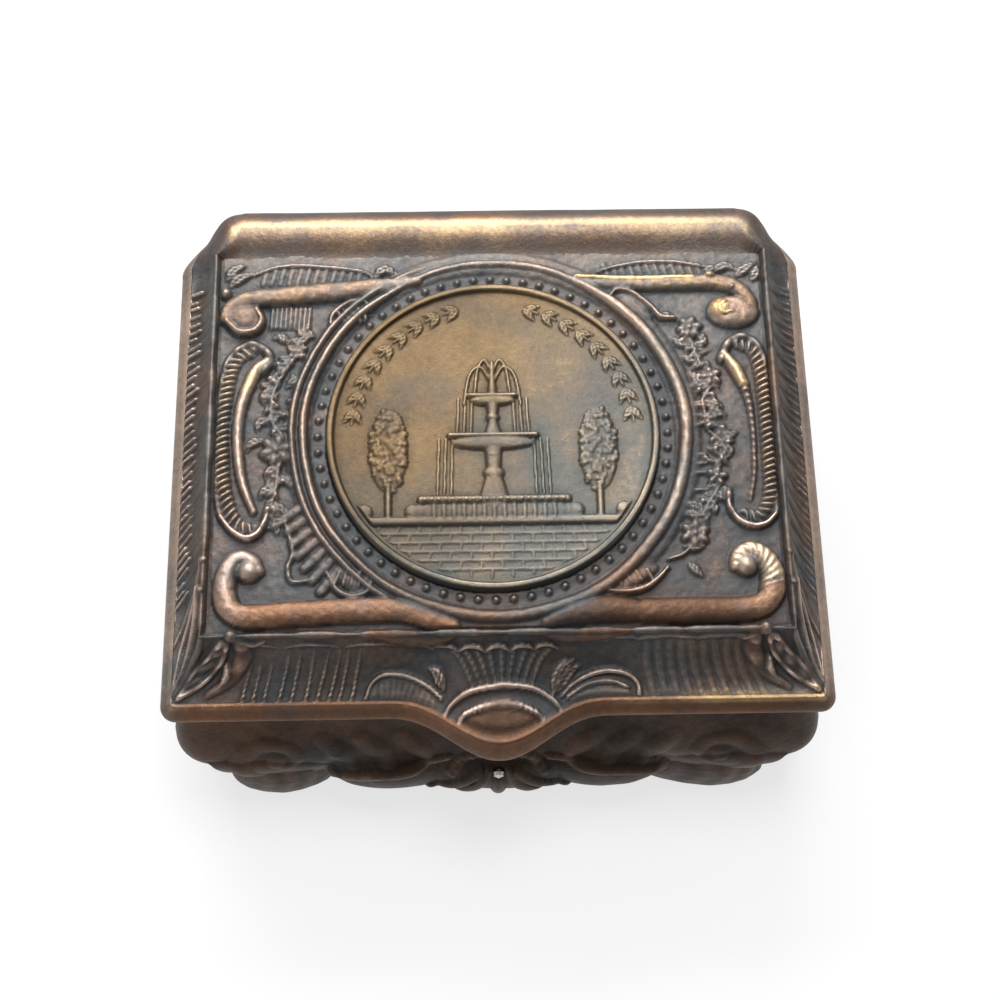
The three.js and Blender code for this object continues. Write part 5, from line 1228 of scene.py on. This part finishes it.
def plain_wall_ornament(relief, middle, half):
    """Scrolls and leaves on the sides and back of the case, by share of the half width and by z."""
    scroll = [
        (0.12, 9.2), (0.32, 6.4), (0.6, 5.6), (0.8, 7.6), (0.78, 10.6), (0.62, 11.8), (0.52, 10.2),
        (0.6, 8.8),
    ]
    for side in (-1, 1):
        place = lambda u, z: (middle + side * u * half, z)
        widths = (0.6, 0.9, 0.95, 0.85, 0.6)
        placed(relief.stroke, place)(scroll, widths, swell(0.35, 0.42, 0.42), groove=0.25)
        for k in range(5):
            u = 0.14 + 0.13 * k
            placed(relief.leaf, place)([(u, 10), (u + 0.05, 11.6), (u + 0.12, 13)], 0.7, 0.2, pitch=0.7)


def case_block(kind, values, quarter):
    """One face or corner of the case, without ornament: points, plan normals and lower edge."""
    t = np.repeat(values[:, None], CASE_ROWS, 1)
    low = np.full(len(values), HEM_Z)
    if kind == "front":
        low = apron_foot(values * (RIM_HALF - CASE_CORNER), FRONT_LOBES)
    elif kind in FLANKS:
        straight = (HEM_FRONT + CASE_CORNER, HEM_BACK - CASE_CORNER)
        low = apron_foot(np.interp(values, (-1, 1), straight), SIDE_LOBES)
    z = low[:, None] + (RIM_Z - low[:, None]) * np.linspace(0, 1, CASE_ROWS)
    half = RIM_HALF + wall_curve(SIDE_CURVE, z)
    front = RIM_FRONT - wall_curve(FRONT_CURVE, z)
    back = RIM_BACK + np.minimum(wall_curve(BACK_CURVE, z), 0)
    flat_x = half - CASE_CORNER
    near = front + CASE_CORNER
    far = back - CASE_CORNER
    zero = np.zeros_like(z)
    if kind == "front":
        return t * flat_x, front, z, zero, zero - 1, low
    if kind == "back":
        return t * flat_x, back, z, zero, zero + 1, low
    if kind in FLANKS:
        sign = 1 if kind == "right" else -1
        return sign * half, near + (far - near) * (t + 1) / 2, z, zero + sign, zero, low
    angle = (quarter - 1) * math.pi / 2 + t * math.pi / 2
    nx, ny = np.cos(angle), np.sin(angle)
    middle_x = flat_x if quarter in (0, 1) else -flat_x
    middle_y = near if quarter in (0, 3) else far
    return middle_x + CASE_CORNER * nx, middle_y + CASE_CORNER * ny, z, nx, ny, low


def case_piece():
    """The wall of the case with its hem, belly and rim, as one closed ring."""
    side_values = np.linspace(-1, 1, SIDE_COUNT)
    faces = {
        "front": np.linspace(-1, 1, FRONT_COUNT),
        "right": side_values,
        "back": np.linspace(1, -1, BACK_COUNT),
        "left": side_values[::-1],
    }
    turn = np.linspace(0, 1, TURN_COUNT + 2)[1:-1]
    blocks = []
    kinds = []
    for quarter, (face, face_values) in enumerate(faces.items()):
        for kind, values in ((face, face_values), ("corner", turn)):
            blocks.append(case_block(kind, values, quarter))
            kinds += [kind] * len(values)
    x, y, z, nx, ny, low = (np.concatenate(parts) for parts in zip(*blocks))
    kinds = np.array(kinds)

    share = np.linspace(0, 1, CASE_ROWS)
    fade = smooth(0, 0.06, share) * (1 - smooth(0.82, 0.9, share))
    height = np.zeros_like(x)
    wear = np.full_like(x, 0.3)
    for face in ("front", *FLANKS, "back"):
        rows = kinds == face
        relief = Relief((y if face in FLANKS else x)[rows], z[rows])
        if face == "front":
            front_wall_ornament(relief)
        elif face == "back":
            plain_wall_ornament(relief, 0, BACK_HALF)
        else:
            plain_wall_ornament(relief, (HEM_FRONT + HEM_BACK) / 2, (RIM_BACK - RIM_FRONT) / 2)
        relief.h = relief.h + 0.05 * relief.noise(1.4, 41) + 0.08 * relief.noise(4, 42)
        height[rows] = relief.h * fade * (0.4 if face == "back" else 1.0)
        wear[rows] = relief.wear(4, 0.22, 0.6)

    bulge = np.where((kinds == "front")[:, None], apron(x, z, FRONT_LOBES), 0)
    y = np.where(bulge > 0, np.minimum(y, HEM_FRONT - bulge), y)
    bulge = np.where(np.isin(kinds, FLANKS)[:, None], apron(y, z, SIDE_LOBES), 0)
    x = np.where(bulge > 0, np.sign(x) * np.maximum(abs(x), HEM_HALF + bulge), x)
    x = np.clip(x + nx * height, -BOX_HIGH[0], BOX_HIGH[0])
    y = np.maximum(y + ny * height, BOX_LOW[1] - FRONT_LINE)

    # The flange of the rim and the inner face of the wall close the ring
    def wall_in(k):
        inside_x = np.clip(x[:, k] - nx[:, k] * WALL, -RIM_HALF + WALL, RIM_HALF - WALL)
        return inside_x, np.clip(y[:, k] - ny[:, k] * WALL, RIM_FRONT + FRONT_GAP, RIM_BACK - WALL)

    rim_in = (np.clip(x[:, -1], -MOUTH[0], MOUTH[0]), np.clip(y[:, -1], MOUTH[1], MOUTH[2]))
    inner = (
        (rim_in, RIM_Z), (rim_in, RIM_UNDER), (wall_in(-1), RIM_UNDER),
        (wall_in(CASE_ROWS // 2), BELLY_Z), (wall_in(0), low + HEM_STEP), (wall_in(0), low),
    )
    rows = [np.stack([x, y, z], -1)]
    for sides, level in inner:
        rows.append(np.column_stack([*sides, np.broadcast_to(level, len(x))])[:, None, :])
    grow = lambda values, fill: np.concatenate([values, np.full((len(x), len(inner)), fill)], 1)
    marks = {
        "wear": grow(wear, 0.25),
        "fine": grow(fine_edges(height, 3), 0.5),
        "gold": grow(np.full_like(x, 0.1), 0.1),
        "warm": grow(np.clip(0.55 + 0.5 * noise(x + y, z, 5, 44), 0, 1), 0.5),
    }
    return loop_solid("case_wall", np.concatenate(rows, 1), marks)


# Feet
FOOT_VOXEL = 0.22
FOOT_SOFTENING = 6
FOOT_SINK = 0.4  # how far the back of a lobe goes into the hem
TAPER_FROM_SIDE = 6.8  # where a lobe on the front or back starts to taper, in from the side of the hem
TAPER_FROM_END = 8  # and a lobe on the side, in from the front or back of the hem
TAPER_LENGTH = 5
TAPER_DEPTH = 0.42
FOOT_STRETCH = 2.4  # how much further in the front right foot reaches
FLUTE_PITCH = 2.0
FLUTE_HEIGHT = 0.06


def foot_mesh(obj):
    """The solid's form made even and smooth, with its points in mm and their normals."""
    remesh = obj.modifiers.new("remesh", "REMESH")
    remesh.mode = "VOXEL"
    remesh.voxel_size = FOOT_VOXEL * MM
    soften = obj.modifiers.new("soften", "SMOOTH")
    soften.iterations = FOOT_SOFTENING
    bpy.context.view_layer.update()
    made = bpy.data.meshes.new_from_object(obj.evaluated_get(bpy.context.evaluated_depsgraph_get()))
    obj.modifiers.clear()
    obj.data = made
    points, normals = np.zeros((2, len(made.vertices) * 3), np.float32)
    made.vertices.foreach_get("co", points)
    made.vertex_normals.foreach_get("vector", normals)
    return made, points.reshape(-1, 3).astype(float) / MM, normals.reshape(-1, 3)


def foot_piece(node):
    """A scroll foot: the solid's form made smooth, with flutes drawn over its lobes."""
    obj = add_object(node + "_scroll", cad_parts[node].data.copy())
    made, p, n = foot_mesh(obj)
    low, high = (np.array(v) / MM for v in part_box(node))
    side = np.sign(low[0] + high[0])
    end = np.sign(low[1] + high[1])
    hem = np.array([side * HEM_HALF, FRONT_LINE + (HEM_FRONT if end < 0 else HEM_BACK)])
    out = (p[:, :2] - hem) * np.array([side, end])
    on_end = out[:, 1] > out[:, 0]
    on_side = ~on_end
    facing = np.where(on_end, n[:, 1] * end, n[:, 0] * side)
    run = np.where(on_end, p[:, 0], p[:, 1])
    wave = np.cos(run * 2 * math.pi / FLUTE_PITCH + 0.9 * np.sin(p[:, 2] * 0.9))
    rise = FLUTE_HEIGHT * wave * smooth(0.15, 0.6, facing) * smooth(0.8, 2.4, p[:, 2])
    p = p + n * rise[:, None]

    # The back of each lobe sinks into the hem, and the lobes taper towards their inner ends
    sunk = FOOT_SINK * smooth(-0.05, 0.35, -facing) * smooth(1.6, 2.6, p[:, 2])
    p[:, 2] += 0.5 * sunk
    inward = np.where(on_end, -TAPER_FROM_SIDE - out[:, 0], -TAPER_FROM_END - out[:, 1]) / TAPER_LENGTH
    taper = 1 - TAPER_DEPTH * np.clip(inward, 0, 1) ** 1.4
    for axis, hand, lobe in ((0, side, on_side), (1, end, on_end)):
        p[:, axis] -= hand * sunk * lobe
        p[:, axis] -= hand * (1 - taper) * np.clip(out[:, axis], 0, None) * lobe
    if node == "foot_front_right":
        p[:, 0] -= FOOT_STRETCH * np.clip(inward, 0, 1) * on_end
    p[:, 2] = np.clip(p[:, 2], 0, None)
    p = np.clip(p, BOX_LOW, BOX_HIGH)
    made.vertices.foreach_set("co", (p * MM).astype(np.float32).ravel())
    shade_smooth(made)
    made.update()
    even = np.ones_like(rise)
    marks = {"wear": 0.3 + 1.6 * rise, "fine": 0.5 * even, "gold": 0.1 * even, "warm": 0.6 * even}
    set_marks(made, marks)
    return obj


# Velvet and felt
PAD_COUNT = (72, 56)
PAD_PULL = 0.012  # how far the sides are drawn in between the corners
PAD_EDGE = 14  # the higher, the tighter the edges are rounded
PAD_RIPPLE = 0.015


def pad_piece(name, node, crown, axis=2):
    """A soft pad in its solid's place, with rounded edges, a crowned face and sides drawn in."""
    low, high = (np.array(v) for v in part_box(node))
    size = (high - low) / 2
    middle = (high + low) / 2
    a, b = (k for k in range(3) if k != axis)
    u, v = np.meshgrid(*(np.linspace(-1, 1, count) for count in PAD_COUNT), indexing="ij")
    u, v = (np.sin(w * math.pi / 2) * 0.35 + w * 0.65 for w in (u, v))
    edge = np.sqrt(np.clip(1 - abs(u) ** PAD_EDGE, 0, 1) * np.clip(1 - abs(v) ** PAD_EDGE, 0, 1))
    swollen = (1 - crown) + crown * (1 - u ** 2) * (1 - v ** 2)
    ripple = PAD_RIPPLE * noise(u * 30, v * 30, 5, 51) * edge
    grids = []
    for sign, rise in ((1, edge * swollen + ripple), (-1, edge)):
        p = np.zeros(u.shape + (3,))
        p[..., a] = middle[a] + size[a] * u * (1 - PAD_PULL * (1 - v ** 2))
        p[..., b] = middle[b] + size[b] * v * (1 - PAD_PULL * (1 - u ** 2))
        p[..., axis] = middle[axis] + sign * size[axis] * np.minimum(rise, 1)
        grids.append(p.reshape(-1, 3))
    top = grid_faces(*u.shape)
    faces = top + [[u.size + k for k in quad[::-1]] for quad in top]
    obj = mesh_object(name, np.vstack(grids) / MM - FRONT_SHIFT, faces, {})
    weld(obj)
    return obj


def weld(obj):
    """Joins points that lie on each other."""
    bm = bmesh.new()
    bm.from_mesh(obj.data)
    bmesh.ops.remove_doubles(bm, verts=bm.verts, dist=1e-7)
    bmesh.ops.recalc_face_normals(bm, faces=bm.faces)
    bm.to_mesh(obj.data)
    bm.free()


# Materials
class Looks:
    """The nodes of a material or a world, added one by one."""

    def __init__(self, owner, shader):
        self.owner = owner
        owner.use_nodes = True
        self.nodes = owner.node_tree.nodes
        self.links = owner.node_tree.links
        self.shader = self.nodes[shader]

    def add(self, kind, **settings):
        node = self.nodes.new(kind)
        for key, value in settings.items():
            setattr(node, key, value)
        return node

    def feed(self, node, **values):
        """Links or sets inputs of a node, given by name with _ for a space, or by number as in _0."""
        for key, value in values.items():
            name = key.replace("_", " ").strip()
            socket = node.inputs[int(name) if name.isdigit() else name]
            if isinstance(value, bpy.types.NodeSocket):
                self.links.new(value, socket)
            elif socket.type == "RGBA":
                socket.default_value = (*value, 1)
            else:
                socket.default_value = value
        return node

    def mark(self, name):
        return self.add("ShaderNodeAttribute", attribute_name=name).outputs["Fac"]

    def cloud(self, size_mm, detail, rough):
        place = self.add("ShaderNodeTexCoord").outputs["Object"]
        node = self.add("ShaderNodeTexNoise")
        self.feed(node, Vector=place, Scale=1 / (size_mm * MM), Detail=detail, Roughness=rough)
        return node.outputs["Fac"]

    def sums(self, operation, a, b, clamp=False):
        node = self.add("ShaderNodeMath", operation=operation, use_clamp=clamp)
        return self.feed(node, _0=a, _1=b).outputs[0]

    def mix(self, share, a, b):
        node = self.add("ShaderNodeMix", data_type="RGBA")
        return self.feed(node, _0=share, _6=a, _7=b).outputs[2]

    def steps(self, value, low, high, start, end):
        """A value that goes from start to end while the given one goes from low to high."""
        node = self.add("ShaderNodeMapRange")
        self.feed(node, Value=value, From_Min=low, From_Max=high, To_Min=start, To_Max=end)
        return node.outputs[0]

    def sway(self, value, base, reach, low=0.3, high=0.7, clamp=False):
        """A base that a noise moves up and down."""
        return self.sums("ADD", base, self.steps(value, low, high, -reach, reach), clamp)

    def bump(self, height, strength, depth_mm):
        node = self.add("ShaderNodeBump")
        self.feed(node, Strength=strength, Distance=depth_mm * MM, Height=height)
        self.feed(self.shader, Normal=node.outputs[0])

    def set(self, **values):
        self.feed(self.shader, **values)
        return self.owner


def new_looks(name):
    return Looks(bpy.data.materials.new(name), "Principled BSDF")


def patina(name, cool, brown, dull, rich, copper, gold, rough):
    """Patinated metal: dark in hollows, browner on flats, rubbed bright on ridges, and bright where its
    marks paint highlights.
    """
    looks = new_looks(name)
    blotch = looks.cloud(5.5, 5, 0.6)
    grain = looks.cloud(0.55, 6, 0.7)
    speck = looks.cloud(0.2, 3, 0.6)
    worn_and_lit = looks.sway(blotch, looks.mark("wear"), 0.12)
    worn_and_lit = looks.sway(grain, worn_and_lit, 0.09)
    worn_and_lit = looks.sway(looks.mark("fine"), worn_and_lit, 0.14, 0.2, 0.8, True)
    warm = looks.sway(blotch, looks.mark("warm"), 0.25, 0.35, 0.65, True)
    dark = looks.mix(warm, cool, brown)
    middle = looks.mix(warm, dull, rich)
    bright = looks.mix(looks.mark("gold"), copper, gold)
    colour = looks.mix(looks.steps(worn_and_lit, 0.08, 0.5, 0, 1), dark, middle)
    colour = looks.mix(looks.steps(worn_and_lit, 0.5, 0.95, 0, 1), colour, bright)
    shine = looks.steps(looks.sway(speck, worn_and_lit, 0.2), 0.05, 0.85, *rough)
    looks.bump(looks.sums("ADD", grain, looks.sums("MULTIPLY", speck, 0.6)), 0.65, 0.08)
    return looks.set(Base_Color=colour, Roughness=shine, Metallic=0.94)


def plain_metal(name, dark, light, rough):
    looks = new_looks(name)
    blotch = looks.cloud(2.4, 5, 0.6)
    grain = looks.cloud(0.3, 4, 0.6)
    colour = looks.mix(looks.steps(looks.sway(grain, blotch, 0.1), 0.35, 0.65, 0, 1), dark, light)
    shine = looks.steps(blotch, 0.3, 0.7, rough + 0.1, rough - 0.06)
    looks.bump(grain, 0.25, 0.03)
    return looks.set(Base_Color=colour, Roughness=shine, Metallic=1.0)


def cloth(name, dark, light, pile_mm, sheen):
    looks = new_looks(name)
    cloud = looks.cloud(4, 4, 0.6)
    pile = looks.cloud(pile_mm, 2, 0.7)
    colour = looks.mix(looks.steps(looks.sway(pile, cloud, 0.2), 0.3, 0.7, 0, 1), dark, light)
    looks.bump(pile, 0.5, 0.12)
    looks.set(Base_Color=colour, Roughness=0.95)
    return looks.set(Sheen_Weight=sheen, Sheen_Roughness=0.4, Sheen_Tint=light)


def dress(obj, material):
    obj.data.materials.clear()
    obj.data.materials.append(material)


def finish_piece(obj, body, slot, material, *nodes):
    dress(obj, material)
    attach(obj, body)
    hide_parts(*nodes)
    return obj


lid_metal = patina(
    "lid_patina", cool=(0.075, 0.077, 0.08), brown=(0.085, 0.052, 0.036), dull=(0.17, 0.155, 0.14),
    rich=(0.2, 0.105, 0.062), copper=(0.54, 0.41, 0.345), gold=(0.58, 0.41, 0.2), rough=(0.62, 0.42),
)
coin_metal = patina(
    "medallion_patina", cool=(0.06, 0.067, 0.064), brown=(0.078, 0.052, 0.03), dull=(0.103, 0.1, 0.093),
    rich=(0.152, 0.104, 0.058), copper=(0.31, 0.26, 0.205), gold=(0.31, 0.245, 0.145), rough=(0.58, 0.4),
)
# The case and feet are much darker than the lid: a dark patina with painted shade, standing for the lid's
# shadow over them
shaded_case_metal = patina(
    "shaded_case_patina", cool=(0.018, 0.016, 0.015), brown=(0.034, 0.02, 0.013), dull=(0.043, 0.033, 0.027),
    rich=(0.082, 0.045, 0.027), copper=(0.24, 0.19, 0.165), gold=(0.3, 0.22, 0.13), rough=(0.55, 0.33),
)
brass = plain_metal("dull_brass", (0.3, 0.2, 0.09), (0.52, 0.37, 0.17), 0.38)
wire = plain_metal("drawn_wire", (0.4, 0.37, 0.33), (0.66, 0.62, 0.57), 0.28)
plate_metal = plain_metal("plate_copper", (0.1, 0.06, 0.04), (0.2, 0.115, 0.075), 0.42)
velvet = cloth("velvet", (0.12, 0.012, 0.025), (0.3, 0.035, 0.06), 0.25, 0.6)
felt = cloth("felt", (0.02, 0.035, 0.026), (0.05, 0.08, 0.06), 0.4, 0.2)
card = cloth("card", (0.42, 0.35, 0.25), (0.55, 0.47, 0.35), 0.6, 0.0)

finish_piece(border_piece(), "lid", "lid_copper", lid_metal, "lid_shell")
finish_piece(panel_piece(), "lid", "lid_copper", lid_metal, "lid_shell")
finish_piece(medallion_piece(), "lid", "medallion_bronze", coin_metal, "medallion_disc")
finish_piece(case_piece(), "case", "case_copper", shaded_case_metal, "case_shell")
for node in ("foot_front_left", "foot_front_right", "foot_back_left", "foot_back_right"):
    finish_piece(foot_piece(node), "case", "case_copper", shaded_case_metal, node)

pads = [
    ("floor_velvet", "floor_pad", "case", 0.25, 2), ("lid_velvet", "lid_pad", "lid", 0.25, 2),
    ("velvet_left", "lining_left", "case", 0.3, 0), ("velvet_right", "lining_right", "case", 0.3, 0),
    ("velvet_front", "lining_front", "case", 0.3, 1), ("velvet_back", "lining_back", "case", 0.3, 1),
]
for name, node, body, crown, axis in pads:
    soft = finish_piece(pad_piece(name, node, crown, axis), body, "velvet", velvet, node)
soft = finish_piece(pad_piece("felt_sheet", "base_felt", 0.02), "case", "felt", felt, "base_felt")

for node, material in (
    ("bottom_plate", plate_metal), ("floor_card", card), ("lid_card", card), ("front_stud", wire),
    ("hinge_leaf_case", brass), ("hinge_leaf_lid", brass), ("hinge_pin", wire),
):
    dress(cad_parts[node], material)


# Floor, light and camera
FLOOR_HALF = 2.0
FLOOR_Z = -0.0002


def pale_floor():
    """A floor that is white to the camera and in reflections, and keeps the shadow of the box."""
    mesh = bpy.data.meshes.new("floor")
    corners = [(-FLOOR_HALF, -FLOOR_HALF, 0), (FLOOR_HALF, -FLOOR_HALF, 0)]
    corners += [(FLOOR_HALF, FLOOR_HALF, 0), (-FLOOR_HALF, FLOOR_HALF, 0)]
    mesh.from_pydata(corners, [], [(0, 1, 2, 3)])
    floor = add_object("floor", mesh)
    floor.location.z = FLOOR_Z
    looks = new_looks("pale_floor")
    rays = looks.add("ShaderNodeLightPath").outputs
    seen = looks.sums("MAXIMUM", rays["Is Camera Ray"], rays["Is Glossy Ray"])
    seen = looks.sums("MAXIMUM", seen, rays["Is Transmission Ray"])
    glow = looks.feed(looks.add("ShaderNodeEmission"), Color=(1, 1, 1))
    matte = looks.feed(looks.add("ShaderNodeBsdfDiffuse"), Color=(0.86, 0.86, 0.86))
    place = looks.add("ShaderNodeNewGeometry").outputs["Position"]
    away = looks.feed(looks.add("ShaderNodeVectorMath", operation="LENGTH"), _0=place)
    fade = looks.steps(away.outputs["Value"], 0.06, 0.3, 0.7, 1.0)
    white = looks.sums("MULTIPLY", seen, fade)
    blend = looks.add("ShaderNodeMixShader")
    looks.feed(blend, _0=white, _1=matte.outputs[0], _2=glow.outputs[0])
    looks.feed(looks.nodes["Material Output"], Surface=blend.outputs[0])
    looks.nodes.remove(looks.shader)
    mesh.materials.append(looks.owner)


def sky():
    """Soft light that is stronger from behind, and white to the camera."""
    world = bpy.data.worlds.new("studio")
    bpy.context.scene.world = world
    looks = Looks(world, "Background")
    where = looks.add("ShaderNodeTexCoord").outputs["Generated"]
    split = looks.feed(looks.add("ShaderNodeSeparateXYZ"), _0=where)
    light = looks.steps(split.outputs["Y"], -0.6, 0.9, 0.18, 0.85)
    camera_ray = looks.add("ShaderNodeLightPath").outputs["Is Camera Ray"]
    choose = looks.feed(looks.add("ShaderNodeMix", data_type="FLOAT"), _0=camera_ray, _2=light, _3=1.0)
    looks.set(Color=(1, 1, 1), Strength=choose.outputs[0])


def area_lamp(name, place, aim, size, power):
    lamp = bpy.data.lights.new(name, "AREA")
    lamp.shape = "RECTANGLE"
    lamp.size, lamp.size_y = size
    lamp.energy = power
    obj = add_object(name, lamp)
    obj.location = place
    obj.rotation_euler = (Vector(aim) - Vector(place)).to_track_quat("-Z", "Y").to_euler()


def photo_camera():
    """The camera fitted to the photographed box."""
    azimuth, elevation, roll = (math.radians(v) for v in (-2.76, 67.86, 1.74))
    distance = 165.7
    target = Vector((0.44, 19.66 + FRONT_LINE, 20.0)) * MM
    level = math.cos(elevation)
    back = Vector((math.sin(azimuth) * level, -math.cos(azimuth) * level, math.sin(elevation)))
    right = (-back).cross(Vector((0, 0, 1))).normalized()
    up = right.cross(-back)
    turned = right * math.cos(roll) + up * math.sin(roll)
    above = up * math.cos(roll) - right * math.sin(roll)
    camera = add_object("camera", bpy.data.cameras.new("camera"))
    camera.data.lens = 64.8
    camera.data.sensor_width = 36
    camera.data.clip_start = 0.01
    facing = Matrix((turned, above, back)).transposed().to_4x4()
    camera.matrix_world = Matrix.Translation(target + back * distance * MM) @ facing
    bpy.context.scene.camera = camera


pale_floor()
sky()
area_lamp("back_light", (-0.06, 0.32, 0.3), (0, 0, 0.02), (0.34, 0.12), 2.0)
area_lamp("top_light", (0.04, 0.1, 0.5), (0, 0, 0.02), (0.18, 0.16), 1.2)
area_lamp("front_light", (-0.3, -0.3, 0.26), (0, 0, 0.01), (0.24, 0.2), 0.4)
photo_camera()
bpy.context.scene.view_settings.view_transform = "Standard"
